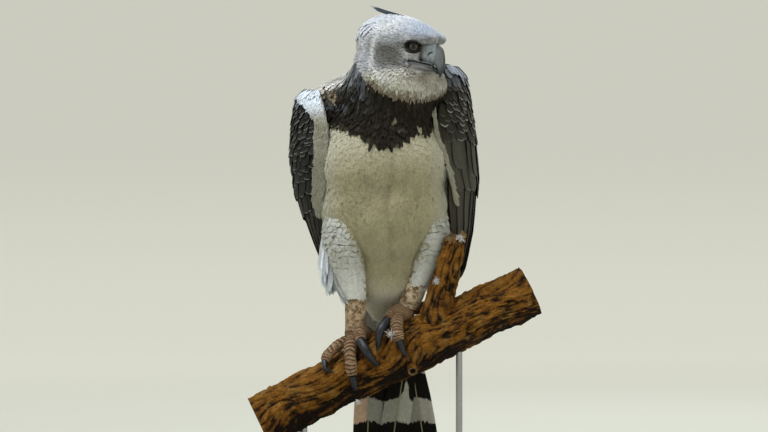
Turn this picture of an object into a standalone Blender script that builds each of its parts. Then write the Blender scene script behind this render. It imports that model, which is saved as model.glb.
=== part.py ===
"""A life-size harpy eagle on a cut length of branch, held up by a plain stand.

Metres, +Z up. The bird faces -Y with its head turned to its own left, which is +X.
The origin is on the underside of the stand's base, below the middle of the body.
Left and right in the names are the bird's own.
"""

import math

import bmesh
import bpy
import numpy as np

# Clearance that touching pieces keep
GAP = 0.0003
CUT_MARGIN = 0.0004

# Driving sizes of the bird, from the species and the picture
HEAD_YAW = math.radians(60.0)
HEAD_PLACE = (0.020, -0.045)
CROWN_HEIGHT = 0.970
EYE_RADIUS = 0.0125
EYE_PLACE = (0.066, 0.0400, 0.902)
TAIL_LENGTH = 0.385
TAIL_TIP_HEIGHT = 0.040
TARSUS_RADIUS = 0.0205
TOE_RADIUS = 0.0120
CLAW_BASE_RADIUS = 0.0072
WING_TOP = {"right": 0.826, "left": 0.874}
WING_TIP = {"right": 0.405, "left": 0.398}

# A feather's thickness at its edges and at its shaft
VANE_EDGE = 0.0005
VANE_MIDDLE = 0.0013

# Driving sizes of the perch and the stand
BRANCH_RADIUS = 0.052
BRANCH_RUN = ((-0.252, 0.154), (-0.168, 0.194), (-0.022, 0.268), (0.132, 0.340), (0.232, 0.386), (0.292, 0.414))
STUB_FOOT = (0.098, -0.030, 0.352)
STUB_TOP = (0.144, -0.052, 0.528)
STUB_RADIUS = 0.0225
TWIG_RUN = ((0.052, -0.020, 0.275), (0.056, -0.050, 0.260), (0.057, -0.060, 0.256))
TWIG_RADIUS = 0.0095
BASE_SIZE = (0.44, 0.36, 0.020)
BASE_MIDDLE = (0.0, 0.030)
ROD_RADIUS = 0.0065
ROD_PLACES = {"stand_rod_left": 0.150, "stand_rod_right": -0.160}

SIDES = {"left": 1.0, "right": -1.0}


def colour(name, rgb, roughness, metallic=0.0):
    """A Principled material of one colour."""
    material = bpy.data.materials.new(name)
    material.use_nodes = True
    shader = material.node_tree.nodes["Principled BSDF"]
    shader.inputs["Base Color"].default_value = (*rgb, 1.0)
    shader.inputs["Roughness"].default_value = roughness
    shader.inputs["Metallic"].default_value = metallic
    return material


def make_object(name, points, faces, material=None):
    """A closed mesh object of triangles facing out, shaded smooth except at sharp edges."""
    mesh = bpy.data.meshes.new(name)
    mesh.from_pydata([tuple(map(float, p)) for p in points], [], [tuple(map(int, f)) for f in faces])
    work = bmesh.new()
    work.from_mesh(mesh)
    bmesh.ops.triangulate(work, faces=work.faces, quad_method="FIXED")
    if work.calc_volume(signed=True) < 0:
        bmesh.ops.reverse_faces(work, faces=work.faces)
    work.to_mesh(mesh)
    work.free()
    if material:
        mesh.materials.append(material)
    mesh.shade_smooth()
    mesh.set_sharp_from_angle(angle=math.radians(50))
    thing = bpy.data.objects.new(name, mesh)
    bpy.context.scene.collection.objects.link(thing)
    return thing


def bake_modifiers(thing):
    """Replaces the object's mesh by its evaluated one and clears its modifiers."""
    bpy.context.view_layer.update()
    graph = bpy.context.evaluated_depsgraph_get()
    mesh = bpy.data.meshes.new_from_object(thing.evaluated_get(graph))
    thing.modifiers.clear()
    thing.data = mesh


def keep_largest(thing):
    """Keeps the closed surface of greatest volume and deletes the rest."""
    work = bmesh.new()
    work.from_mesh(thing.data)
    bmesh.ops.triangulate(work, faces=work.faces)
    unseen = set(work.faces)
    islands = []
    while unseen:
        stack = [unseen.pop()]
        island = list(stack)
        while stack:
            face = stack.pop()
            for edge in face.edges:
                for other in edge.link_faces:
                    if other in unseen:
                        unseen.remove(other)
                        stack.append(other)
                        island.append(other)
        islands.append(island)
    def volume(island):
        return sum(f.verts[0].co.dot(f.verts[1].co.cross(f.verts[2].co)) for f in island)
    if len(islands) > 1:
        islands.sort(key=volume)
        loose = {v for island in islands[:-1] for f in island for v in f.verts}
        bmesh.ops.delete(work, geom=list(loose), context="VERTS")
    work.to_mesh(thing.data)
    work.free()


def boolean(thing, other, operation):
    """Applies one Boolean between two closed meshes."""
    modifier = thing.modifiers.new(operation, "BOOLEAN")
    modifier.operation = operation
    modifier.solver = "MANIFOLD"
    modifier.object = other
    bake_modifiers(thing)
    keep_largest(thing)


def cut_clear(thing, *neighbours):
    """Cuts each neighbour, swollen by the clearance, out of the object."""
    for neighbour in neighbours:
        swollen = make_object("cutter", *swell(neighbour, CUT_MARGIN))
        boolean(thing, swollen, "DIFFERENCE")
        bpy.data.objects.remove(swollen)


def swell(thing, distance):
    """Points and faces of the object's mesh, pushed out along its normals."""
    mesh = thing.data
    points = [v.co + v.normal * distance for v in mesh.vertices]
    return points, [tuple(p.vertices) for p in mesh.polygons]


def fuse(name, pieces):
    """Joins closed meshes into the first one by a single union."""
    group = bpy.data.collections.new(name + "_pieces")
    body = pieces[0]
    for piece in pieces[1:]:
        bpy.context.scene.collection.objects.unlink(piece)
        group.objects.link(piece)
    modifier = body.modifiers.new("union", "BOOLEAN")
    modifier.operation = "UNION"
    modifier.solver = "MANIFOLD"
    modifier.operand_type = "COLLECTION"
    modifier.collection = group
    bake_modifiers(body)
    for piece in pieces[1:]:
        bpy.data.objects.remove(piece)
    bpy.data.collections.remove(group)
    keep_largest(body)
    body.name = name
    return body


def ring_faces(rings, columns, closed_ends=True):
    """Quads between rings of equal count, and fans to a pole point at each end.

    The points are the rings one after another, then the first pole and the last pole.
    """
    faces = []
    for r in range(rings - 1):
        for c in range(columns):
            d = (c + 1) % columns
            faces.append((r * columns + c, r * columns + d, (r + 1) * columns + d, (r + 1) * columns + c))
    first, last = rings * columns, rings * columns + 1
    if closed_ends:
        for c in range(columns):
            d = (c + 1) % columns
            faces.append((first, d, c))
            top = (rings - 1) * columns
            faces.append((last, top + c, top + d))
    return faces


def ringed(name, rings, material, first_pole=None, last_pole=None):
    """A closed object from an array of rings (ring, column, xyz)."""
    count, columns, _ = rings.shape
    start = rings[0].mean(axis=0) if first_pole is None else first_pole
    end = rings[-1].mean(axis=0) if last_pole is None else last_pole
    points = np.concatenate([rings.reshape(-1, 3), [start], [end]])
    return make_object(name, points, ring_faces(count, columns), material)


def smooth_line(knots, count):
    """Points evenly spread in parameter on a Catmull-Rom curve through the knots."""
    knots = np.asarray(knots, float)
    padded = np.concatenate([[2 * knots[0] - knots[1]], knots, [2 * knots[-1] - knots[-2]]])
    t = np.linspace(0.0, len(knots) - 1.0, count)
    i = np.minimum(t.astype(int), len(knots) - 2)
    f = (t - i)[:, None]
    a, b, c, d = (padded[i + k] for k in range(4))
    return 0.5 * (2 * b + (c - a) * f + (2 * a - 5 * b + 4 * c - d) * f**2 + (3 * b - a - 3 * c + d) * f**3)


def unit(vectors):
    return vectors / np.maximum(np.linalg.norm(vectors, axis=-1, keepdims=True), 1e-12)


def swept(name, path, wide, tall, sides, material, up):
    """A tube along a path: ovals with half sizes wide (across) and tall (along up)."""
    path = np.asarray(path, float)
    along = unit(np.gradient(path, axis=0))
    up = np.broadcast_to(np.asarray(up, float), path.shape)
    across = unit(np.cross(along, up))
    lift = np.cross(across, along)
    turn = np.linspace(0.0, 2 * math.pi, sides, endpoint=False)
    wide = np.broadcast_to(np.asarray(wide, float), len(path))
    tall = np.broadcast_to(np.asarray(tall, float), len(path))
    rings = (
        path[:, None]
        + across[:, None] * (wide[:, None] * np.cos(turn))[..., None]
        + lift[:, None] * (tall[:, None] * np.sin(turn))[..., None]
    )
    return ringed(name, rings, material)


def vane(left, rachis, right, outward, material=None):
    """A feather: a closed blade through its two edge lines and its shaft, thin at the edges."""
    edge, middle = outward * VANE_EDGE / 2, outward * VANE_MIDDLE / 2
    rings = np.stack([left + edge, rachis + middle, right + edge, right - edge, rachis - middle, left - edge], axis=1)
    faces = [(0, 5, 4), (0, 4, 1), (1, 4, 3), (1, 3, 2)]
    for r in range(len(rings) - 1):
        for c in range(6):
            a, b = r * 6 + c, r * 6 + (c + 1) % 6
            if c < 3:
                faces += [(a, b, b + 6), (a, b + 6, a + 6)]
            else:
                faces += [(a, b, a + 6), (b, b + 6, a + 6)]
    end = (len(rings) - 1) * 6
    faces += [(end, end + 4, end + 5), (end, end + 1, end + 4), (end + 1, end + 3, end + 4), (end + 1, end + 2, end + 3)]
    return make_object("vane", rings.reshape(-1, 3), faces, material)


def blade(shares):
    """Half width of a feather along its length, as a share of its greatest half width."""
    return np.interp(shares, (0.0, 0.14, 0.55, 0.84, 1.0), (0.30, 0.86, 1.0, 0.85, 0.12))


def head_place(along, aside, height):
    """World point of a place in the head: along the bill, to its left, and the height."""
    s, c = math.sin(HEAD_YAW), math.cos(HEAD_YAW)
    return np.array([HEAD_PLACE[0] + s * along + c * aside, HEAD_PLACE[1] - c * along + s * aside, height])


def head_axes(pitch_down, turn_left):
    """Unit axes in the world of a form in the head: forward, left and up."""
    yaw = HEAD_YAW + math.radians(turn_left)
    pitch = math.radians(pitch_down)
    level = np.array([math.sin(yaw), -math.cos(yaw), 0.0])
    left = np.array([math.cos(yaw), math.sin(yaw), 0.0])
    up = np.array([0.0, 0.0, 1.0])
    forward = level * math.cos(pitch) - up * math.sin(pitch)
    return np.array([forward, left, np.cross(forward, left)])


# The fleshy body as rounded masses: middle, half sizes along its axes, and those axes
TORSO_MASSES = (
    ((0.000, -0.018, 0.690), (0.130, 0.108, 0.105)),
    ((0.000, 0.000, 0.590), (0.120, 0.104, 0.120)),
    ((0.000, 0.036, 0.490), (0.092, 0.076, 0.100)),
    ((0.004, 0.074, 0.428), (0.050, 0.042, 0.082)),
    ((0.000, 0.034, 0.730), (0.105, 0.060, 0.080)),
    ((-0.088, 0.020, 0.776), (0.070, 0.060, 0.058)),
    ((-0.046, 0.006, 0.812), (0.050, 0.060, 0.034)),
    ((0.086, 0.024, 0.778), (0.060, 0.056, 0.068)),
    ((0.012, -0.022, 0.775), (0.098, 0.090, 0.070)),
    ((0.014, -0.020, 0.828), (0.086, 0.082, 0.072)),
    ((0.003, 0.104, 0.440), (0.046, 0.034, 0.062)),
)
HEAD_MASSES = (
    ((-0.004, 0.000, 0.909), (0.072, 0.062, 0.053), 8, 0),
    ((0.034, 0.000, 0.886), (0.056, 0.049, 0.043), 5, 0),
    ((0.044, 0.000, 0.924), (0.050, 0.040, 0.024), 20, 0),
    ((0.066, 0.000, 0.895), (0.024, 0.024, 0.024), 15, 0),
    ((0.070, 0.0300, 0.9185), (0.034, 0.0100, 0.0085), 15, -15),
    ((0.070, -0.0300, 0.9185), (0.034, 0.0100, 0.0085), 15, 15),
    ((0.014, 0.000, 0.836), (0.094, 0.086, 0.055), 14, 0),
)
BLEND = 0.010


def mass_table():
    """Middles, matrices to the unit ball, and mean sizes of all the masses."""
    middles, matrices, sizes = [], [], []
    for middle, half in TORSO_MASSES:
        middles.append(middle)
        matrices.append(np.diag(1.0 / np.array(half)))
        sizes.append(np.prod(half) ** (1 / 3))
    for middle, half, pitch, turn in HEAD_MASSES:
        middles.append(head_place(*middle))
        matrices.append(head_axes(pitch, turn) / np.array(half)[:, None])
        sizes.append(np.prod(half) ** (1 / 3))
    return np.array(middles), np.array(matrices), np.array(sizes)


MASSES = mass_table()


def depth_outside(points, first=0):
    """Roughly how far each point lies outside the masses blended from the given one on."""
    middles, matrices, sizes = (table[first:] for table in MASSES)
    offsets = points[..., None, :] - middles
    scaled = np.einsum("...mi,mji->...mj", offsets, matrices)
    each = (np.linalg.norm(scaled, axis=-1) - 1.0) * sizes
    least = each.min(axis=-1, keepdims=True)
    return (least - BLEND * np.log(np.exp((least - each) / BLEND).sum(axis=-1, keepdims=True)))[..., 0]


def cast(starts, ways, reach, first_mass=0, steps=60):
    """First points where rays from inside the body leave it, or their ends at reach."""
    starts = np.broadcast_to(starts, ways.shape)
    marks = np.linspace(0.0, reach, steps)
    outside = np.stack([depth_outside(starts + ways * m, first_mass) > 0 for m in marks])
    found = outside.any(axis=0)
    first = np.where(found, outside.argmax(axis=0), steps - 1)
    high = marks[first]
    low = np.maximum(high - reach / (steps - 1), 0.0)
    for _ in range(18):
        middle = (low + high) / 2
        out = depth_outside(starts + ways * middle[..., None], first_mass) > 0
        high = np.where(out, middle, high)
        low = np.where(out, low, middle)
    high = np.where(found, high, reach)
    return starts + ways * high[..., None]


# The spine that the torso's rings are centred on, from the vent up: height, x, y
SPINE = ((0.356, 0.004, 0.076), (0.42, 0.004, 0.070), (0.49, 0.0, 0.045), (0.59, 0.0, 0.012), (0.69, 0.0, -0.004), (0.79, 0.008, -0.020), (0.85, 0.022, -0.040))
NECK_FOOT = 0.738
TORSO_RINGS, TORSO_COLUMNS = 17, 24
NECK_RINGS = 5
HEAD_CUT_POINT = (0.026, -0.045, 0.816)
HEAD_CUT_NORMAL = (0.40, -0.24, 1.0)


def spine_at(height):
    table = np.array(SPINE)
    return np.stack([np.interp(height, table[:, 0], table[:, k]) for k in (1, 2)] + [np.asarray(height, float)], axis=-1)


def torso(material):
    """Level rings round the spine from the vent to the foot of the neck, with a flat top."""
    low, high = SPINE[0][0], NECK_FOOT - GAP / 2
    share = np.linspace(0.0, 1.0, TORSO_RINGS)
    heights = low + (high - low) * share
    turn = np.linspace(0.0, 2 * math.pi, TORSO_COLUMNS, endpoint=False)
    ways = np.stack([np.cos(turn), np.sin(turn), 0 * turn], axis=-1)
    starts = spine_at(heights)[:, None]
    rings = cast(starts, np.broadcast_to(ways, (TORSO_RINGS, TORSO_COLUMNS, 3)), 0.22)
    foot = spine_at(low) + np.array([0.0, 0.004, -0.010])
    return ringed("torso", rings, material, first_pole=foot)


def plane_ring(middle, normal, columns, reach):
    """Where rays in a plane, from its middle point, leave the body."""
    normal = unit(np.asarray(normal, float))
    east = unit(np.cross(np.cross(normal, [1.0, 0.0, 0.0]), normal))
    north = np.cross(normal, east)
    turn = np.linspace(0.0, 2 * math.pi, columns, endpoint=False)[:, None]
    return cast(np.asarray(middle, float), east * np.cos(turn) + north * np.sin(turn), reach)


def neck(material):
    """Rings whose planes lean over from the torso's flat top to the underside of the head."""
    rings = []
    low = spine_at(NECK_FOOT + GAP / 2)
    for share in np.linspace(0.0, 1.0, NECK_RINGS):
        middle = low * (1 - share) + np.array(HEAD_CUT_POINT) * share
        normal = np.array([0.0, 0.0, 1.0]) * (1 - share) + np.array(HEAD_CUT_NORMAL) * share
        rings.append(plane_ring(middle, normal, TORSO_COLUMNS, 0.20))
    return ringed("neck", np.array(rings), material)


HEAD_ROWS, HEAD_COLUMNS = 22, 22
HEAD_MIDDLE = (0.020, 0.000, 0.893)
HEAD_REACH = 0.160


def head_core(material):
    """Rays from the middle of the head, in rows from the bill's side to the nape."""
    forward, left, up = head_axes(10, 0)
    bend = np.linspace(0.0, 1.0, HEAD_ROWS + 2)[1:-1]
    angle = math.pi * (bend**1.25)[:, None]
    turn = np.linspace(0.0, 2 * math.pi, HEAD_COLUMNS, endpoint=False)[None]
    ways = (
        forward * np.cos(angle)[..., None]
        + (left * np.cos(turn)[..., None] + up * np.sin(turn)[..., None]) * np.sin(angle)[..., None]
    )
    middle = head_place(*HEAD_MIDDLE)
    rings = cast(middle, ways, HEAD_REACH, len(TORSO_MASSES))
    tips = cast(middle, np.array([forward, -forward]), HEAD_REACH, len(TORSO_MASSES))
    return ringed("head", rings, material, tips[0], tips[1])


def slab_below(point, normal, size=0.6):
    """A box whose top face is the plane through the point, everything below it."""
    normal = unit(np.asarray(normal, float))
    east = unit(np.cross(normal, [0.0, 1.0, 0.0]))
    north = np.cross(normal, east)
    corners = [
        np.asarray(point) + east * a * size + north * b * size - normal * c * size
        for c in (0, 1)
        for a, b in ((-1, -1), (1, -1), (1, 1), (-1, 1))
    ]
    faces = [(0, 1, 2, 3), (7, 6, 5, 4)] + [(i, i + 4, (i + 1) % 4 + 4, (i + 1) % 4) for i in range(4)]
    return make_object("cutter", corners, faces)


def ball(name, middle, radius, material, rows=12, columns=18, axes=None):
    """A ball, or an ellipsoid where the radius is three half sizes along the axes."""
    half = np.broadcast_to(np.asarray(radius, float), 3)
    axes = np.eye(3) if axes is None else axes
    angle = np.linspace(0.0, math.pi, rows + 1)[1:-1, None]
    turn = np.linspace(0.0, 2 * math.pi, columns, endpoint=False)[None]
    local = np.stack(
        [np.cos(angle) * half[0] + 0 * turn, np.sin(angle) * np.cos(turn) * half[1], np.sin(angle) * np.sin(turn) * half[2]],
        axis=-1,
    )
    rings = np.asarray(middle) + local @ axes
    tip = axes[0] * half[0]
    return ringed(name, rings, material, np.asarray(middle) + tip, np.asarray(middle) - tip)


MOUTH_RUN = ((0.046, 0.0, 0.8745), (0.070, 0.0, 0.8725), (0.100, 0.0, 0.8655))
MOUTH_HEIGHT = 0.0011


# Crest feathers: angle of the root over the crown (90 is the top, 180 the back), angle aside,
# length along the head in degrees, width, and rise of the tip
CREST = (
    (98, -10, 34, 0.017, 0.020),
    (104, 6, 40, 0.020, 0.008),
    (108, -24, 42, 0.020, 0.007),
    (110, 22, 42, 0.020, 0.007),
    (126, -6, 40, 0.022, 0.008),
    (130, -34, 38, 0.021, 0.007),
    (130, 34, 38, 0.021, 0.007),
    (132, 14, 38, 0.021, 0.008),
    (148, -18, 30, 0.022, 0.007),
    (150, 24, 30, 0.022, 0.007),
    (152, 2, 30, 0.023, 0.008),
)
CREST_SINK = 0.0020
CREST_LIFT = 0.0014


def head_way(over, aside):
    """Unit direction from the middle of the head: over the crown, and to the left."""
    forward, left, up = head_axes(10, 0)
    a, b = np.radians(over)[..., None], np.radians(aside)[..., None]
    return (forward * np.cos(a) + up * np.sin(a)) * np.cos(b) + left * np.sin(b)


def crest_vane(over, aside, length, width, rise):
    """A crest feather lying back along the head from its root on the crown."""
    shares = np.array([0.0, 0.2, 0.7, 1.0])
    middle = head_place(*HEAD_MIDDLE)
    half = blade(shares) * width / 2
    ways = head_way(over + length * shares, np.full(len(shares), float(aside)))
    surface = cast(middle, ways, HEAD_REACH, len(TORSO_MASSES))
    rachis = surface + ways * np.where(shares > 0, CREST_LIFT + rise * shares**2, -CREST_SINK)[:, None]
    across = unit(np.cross(np.gradient(rachis, axis=0), ways))
    return vane(rachis - across * half[:, None], rachis, rachis + across * half[:, None], ways)


def lid_ring(side):
    """A low rim round the eye, a little wider than tall, sloping down to the bill."""
    sign = SIDES[side]
    forward, left, up = head_axes(12, 0)
    outward = unit(left * sign * 0.80 + forward * 0.60)
    level = unit(np.cross(up, outward)) * sign
    rise = np.cross(outward, level) * sign
    middle = head_place(EYE_PLACE[0], sign * EYE_PLACE[1], EYE_PLACE[2]) + outward * LID_OUT
    turn = np.linspace(0.0, 2 * math.pi, LID_STEPS, endpoint=False)[:, None]
    line = middle + level * np.cos(turn) * LID_HALF[0] + rise * np.sin(turn) * LID_HALF[1]
    spoke = unit(line - middle)
    round_turn = np.linspace(0.0, 2 * math.pi, LID_SIDES, endpoint=False)
    points = line[:, None] + LID_THICK * (
        spoke[:, None] * np.cos(round_turn)[:, None] + outward * np.sin(round_turn)[:, None]
    )
    faces = []
    for r in range(LID_STEPS):
        for c in range(LID_SIDES):
            d, q = (c + 1) % LID_SIDES, (r + 1) % LID_STEPS
            faces.append((r * LID_SIDES + c, r * LID_SIDES + d, q * LID_SIDES + d, q * LID_SIDES + c))
    return make_object("lid", points.reshape(-1, 3), faces)


LID_OUT = 0.0072
LID_HALF = (0.0118, 0.0108)
LID_THICK = 0.0024
LID_SIDES = 5
LID_STEPS = 14


def head(material, eyes):
    """The head: core above the slanting cut, crest, lids, eye sockets and the line of the mouth."""
    pieces = [head_core(material)]
    pieces += [crest_vane(*row) for row in CREST]
    pieces += [lid_ring(side) for side in SIDES]
    body = fuse("head", pieces)
    point = np.array(HEAD_CUT_POINT) + unit(np.array(HEAD_CUT_NORMAL)) * GAP
    below = slab_below(point, HEAD_CUT_NORMAL)
    boolean(body, below, "DIFFERENCE")
    bpy.data.objects.remove(below)
    run = np.array([head_place(*p) for p in smooth_line(MOUTH_RUN, 5)])
    mouth = swept("cutter", run, 0.07, MOUTH_HEIGHT, 8, None, (0, 0, 1))
    boolean(body, mouth, "DIFFERENCE")
    bpy.data.objects.remove(mouth)
    cut_clear(body, *eyes)
    return body


# The bill's upper half, along its middle line: along, height, half width, half height
BILL_UPPER = (
    (0.066, 0.8900, 0.0190, 0.0180),
    (0.088, 0.8890, 0.0170, 0.0198),
    (0.1025, 0.8830, 0.0135, 0.0170),
    (0.1100, 0.8690, 0.0094, 0.0108),
    (0.1090, 0.8550, 0.0058, 0.0060),
    (0.1045, 0.8405, 0.0012, 0.0012),
)
BILL_LOWER = (
    (0.064, 0.8625, 0.0150, 0.0065),
    (0.086, 0.8605, 0.0130, 0.0070),
    (0.097, 0.8555, 0.0085, 0.0050),
    (0.1025, 0.8500, 0.0030, 0.0020),
)


def bill_part(name, table, rings, sides, material):
    """A tapering curved tube in the head's middle plane."""
    values = smooth_line(table, rings)
    path = np.array([head_place(v[0], 0.0, v[1]) for v in values])
    left = head_axes(0, 0)[1]
    along = unit(np.gradient(path, axis=0))
    return swept(name, path, np.maximum(values[:, 2], 0.0008), np.maximum(values[:, 3], 0.0008), sides, material, np.cross(left, along) * -1)


NOSTRIL = ((0.0925, 0.0145, 0.8930), (0.0058, 0.0055, 0.0015), 40)


def nostrils(upper):
    """Cuts a slanting slit into each side of the cere."""
    place, half, pitch = NOSTRIL
    for sign in SIDES.values():
        middle = head_place(place[0], sign * (place[1] + 0.003), place[2])
        cutter = ball("cutter", middle, half, None, 6, 8, head_axes(-pitch, 0))
        boolean(upper, cutter, "DIFFERENCE")
        bpy.data.objects.remove(cutter)


def legs_table(side):
    """Thigh stations: x, y, height, half width, half depth; then the tarsus line."""
    if side == "right":
        thigh = (
            (-0.066, -0.012, 0.600, 0.050, 0.058),
            (-0.076, -0.022, 0.540, 0.047, 0.060),
            (-0.078, -0.022, 0.485, 0.043, 0.054),
            (-0.068, -0.012, 0.440, 0.036, 0.043),
            (-0.058, -0.004, 0.402, 0.0235, 0.0265),
        )
        tarsus = ((-0.057, -0.002, 0.415), (-0.057, -0.003, 0.375), (-0.058, -0.004, 0.335))
    else:
        thigh = (
            (0.070, -0.006, 0.615, 0.050, 0.056),
            (0.088, -0.010, 0.555, 0.042, 0.054),
            (0.094, -0.010, 0.510, 0.035, 0.046),
            (0.084, -0.006, 0.468, 0.032, 0.036),
            (0.069, -0.002, 0.430, 0.0225, 0.0255),
        )
        tarsus = ((0.068, -0.002, 0.442), (0.060, -0.002, 0.410), (0.047, -0.002, 0.382))
    return thigh, tarsus


# Flags of long loose feathers at the back of each thigh: root, tip and width
THIGH_FLAGS = {
    "right": (
        ((-0.108, -0.006, 0.488), (-0.120, 0.006, 0.424), 0.020),
        ((-0.104, 0.004, 0.462), (-0.115, 0.012, 0.402), 0.020),
        ((-0.096, 0.012, 0.446), (-0.103, 0.024, 0.398), 0.018),
        ((-0.080, 0.022, 0.446), (-0.084, 0.036, 0.404), 0.018),
    ),
    "left": (
        ((0.115, 0.006, 0.508), (0.126, 0.020, 0.456), 0.018),
        ((0.104, 0.012, 0.490), (0.114, 0.028, 0.436), 0.018),
        ((0.088, 0.018, 0.476), (0.094, 0.034, 0.430), 0.018),
    ),
}


def flag_vane(root, tip, width):
    """A loose feather hanging from the thigh, its face to the side."""
    shares = np.array([0.0, 0.2, 0.7, 1.0])[:, None]
    rachis = np.array(root) * (1 - shares) + np.array(tip) * shares
    half = blade(shares[:, 0])[:, None] * width / 2
    along = unit(np.array(tip) - np.array(root))
    across = unit(np.cross(along, [root[0] * 4, root[1] - 0.02, 0.0]))
    outward = np.broadcast_to(np.cross(across, along), rachis.shape)
    return vane(rachis - across * half, rachis, rachis + across * half, outward)


def oval_stack(name, stations, rings, sides, material):
    """Level ovals through stations of x, y, height, half width and half depth."""
    values = smooth_line(stations, rings)
    turn = np.linspace(0.0, 2 * math.pi, sides, endpoint=False)
    offsets = np.stack(
        [values[:, 3:4] * np.cos(turn), values[:, 4:5] * np.sin(turn), np.zeros((rings, sides))], axis=-1
    )
    return ringed(name, values[:, None, :3] + offsets, material)


def branch_line(count):
    run = smooth_line(BRANCH_RUN, count)
    return np.stack([run[:, 0], -0.012 * np.sin(run[:, 0] * 9.0), run[:, 1]], axis=-1)


def knots_of_bark(length, turn):
    """Low swellings and ridges along and round a branch, as a share of its radius."""
    return (
        0.035 * np.sin(3 * turn + 9 * length)
        + 0.025 * np.sin(5 * turn - 14 * length + 1.0)
        + 0.030 * np.sin(23 * length + 2 * turn)
        + 0.020 * np.sin(8 * turn + 31 * length)
    )


def barky_tube(name, path, radius, sides, material, ridges=1.0):
    path = np.asarray(path)
    along = unit(np.gradient(path, axis=0))
    across = unit(np.cross(along, [0.0, -1.0, 0.0]))
    front = np.cross(across, along)
    length = np.concatenate([[0.0], np.cumsum(np.linalg.norm(np.diff(path, axis=0), axis=1))])[:, None]
    turn = np.linspace(0.0, 2 * math.pi, sides, endpoint=False)[None]
    size = np.broadcast_to(radius, len(path))[:, None] * (1 + ridges * knots_of_bark(length, turn))
    rings = path[:, None] + across[:, None] * (size * np.cos(turn))[..., None] + front[:, None] * (size * np.sin(turn))[..., None]
    return ringed(name, rings, material)


def perch(wood):
    """The branch, cut at both ends, and the broken stub that stands on it."""
    run = branch_line(22)
    share = np.linspace(0.0, 1.0, len(run))
    radius = BRANCH_RADIUS * (0.955 + 0.06 * np.sin(math.pi * share))
    branch = barky_tube("perch_branch", run, radius, 18, wood)
    twig = swept("twig", TWIG_RUN, TWIG_RADIUS, TWIG_RADIUS, 10, None, (0, 0, 1))
    branch = fuse("perch_branch", [branch, twig])
    stub_run = smooth_line((STUB_FOOT, (0.121, -0.045, 0.440), STUB_TOP), 9)
    stub = barky_tube("perch_stub", stub_run, STUB_RADIUS * np.linspace(1.35, 0.92, 9), 12, wood)
    cut_clear(stub, branch)
    return branch, stub


# Toe lines over the branch. Each is a list of places: along the branch from the foot's middle,
# angle from the branch's top towards its front in degrees, and height over the bark;
# then the claw's lines in the same terms.
FOOT_MIDDLES = {"right": (-0.022, 0.268), "left": (0.072, 0.312)}
FEET = {
    "right": {
        "outer": (((-0.012, 4, 0.014), (-0.040, 16, 0.015), (-0.064, 30, 0.016), (-0.079, 40, 0.013)),
                  ((-0.083, 46, 0.011), (-0.086, 60, 0.010), (-0.078, 76, 0.004))),
        "middle": (((-0.008, 14, 0.016), (-0.020, 40, 0.017), (-0.030, 66, 0.015), (-0.040, 90, 0.012)),
                   ((-0.042, 97, 0.011), (-0.047, 112, 0.008), (-0.050, 124, 0.001))),
        "inner": (((0.002, 10, 0.018), (0.006, 28, 0.022), (0.004, 44, 0.024)),
                  ((0.006, 50, 0.025), (0.014, 68, 0.021), (0.020, 88, 0.010), (0.024, 98, 0.001))),
        "hind": (((0.004, -8, 0.015), (0.012, -34, 0.018), (0.018, -60, 0.017)),
                 ((0.019, -67, 0.017), (0.024, -90, 0.020), (0.024, -118, 0.011), (0.022, -132, 0.002))),
    },
    "left": {
        "outer": (((0.002, -6, 0.014), (0.024, -24, 0.016), (0.047, -34, 0.016)),
                  ((0.053, -37, 0.016), (0.066, -46, 0.014), (0.072, -60, 0.004))),
        "middle": (((-0.016, 12, 0.013), (-0.022, 34, 0.016), (-0.027, 54, 0.015), (-0.030, 70, 0.012)),
                   ((-0.031, 77, 0.011), (-0.032, 92, 0.009), (-0.030, 108, 0.001))),
        "inner": (((-0.020, 6, 0.018), (-0.030, 16, 0.022), (-0.036, 26, 0.021)),
                  ((-0.041, 30, 0.022), (-0.056, 42, 0.022), (-0.070, 58, 0.014), (-0.082, 70, 0.001))),
        "hind": (((-0.006, -10, 0.014), (-0.010, -36, 0.018), (-0.014, -60, 0.017)),
                 ((-0.015, -67, 0.017), (-0.014, -90, 0.020), (-0.010, -118, 0.011), (-0.008, -132, 0.002))),
    },
}
TOE_SCUTES = {"outer": 5, "middle": 7, "inner": 4, "hind": 4}
CLAW_SIZE = {"outer": 0.80, "middle": 0.92, "inner": 1.15, "hind": 1.25}


def on_branch(side, place):
    """World point of a place given round the branch from a foot's middle."""
    along, angle, over = place
    start = FOOT_MIDDLES[side]
    run = branch_line(200)
    x = start[0] + along * 0.9
    line = np.array([np.interp(x, run[:, 0], run[:, k]) for k in range(3)])
    slope = unit(np.array([np.interp(x + 0.01, run[:, 0], run[:, k]) for k in range(3)]) - line)
    front = np.array([0.0, -1.0, 0.0])
    up = unit(np.cross(slope, front)) * -1.0
    front = np.cross(slope, up)
    if front[1] > 0:
        front = -front
    a = math.radians(angle)
    outward = up * math.cos(a) + front * math.sin(a)
    return line + outward * (BRANCH_RADIUS * 1.01 + over), outward


def toe_line(side, places, count):
    points, outs = zip(*(on_branch(side, p) for p in places))
    return smooth_line(points, count), unit(smooth_line(outs, count))


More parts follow.
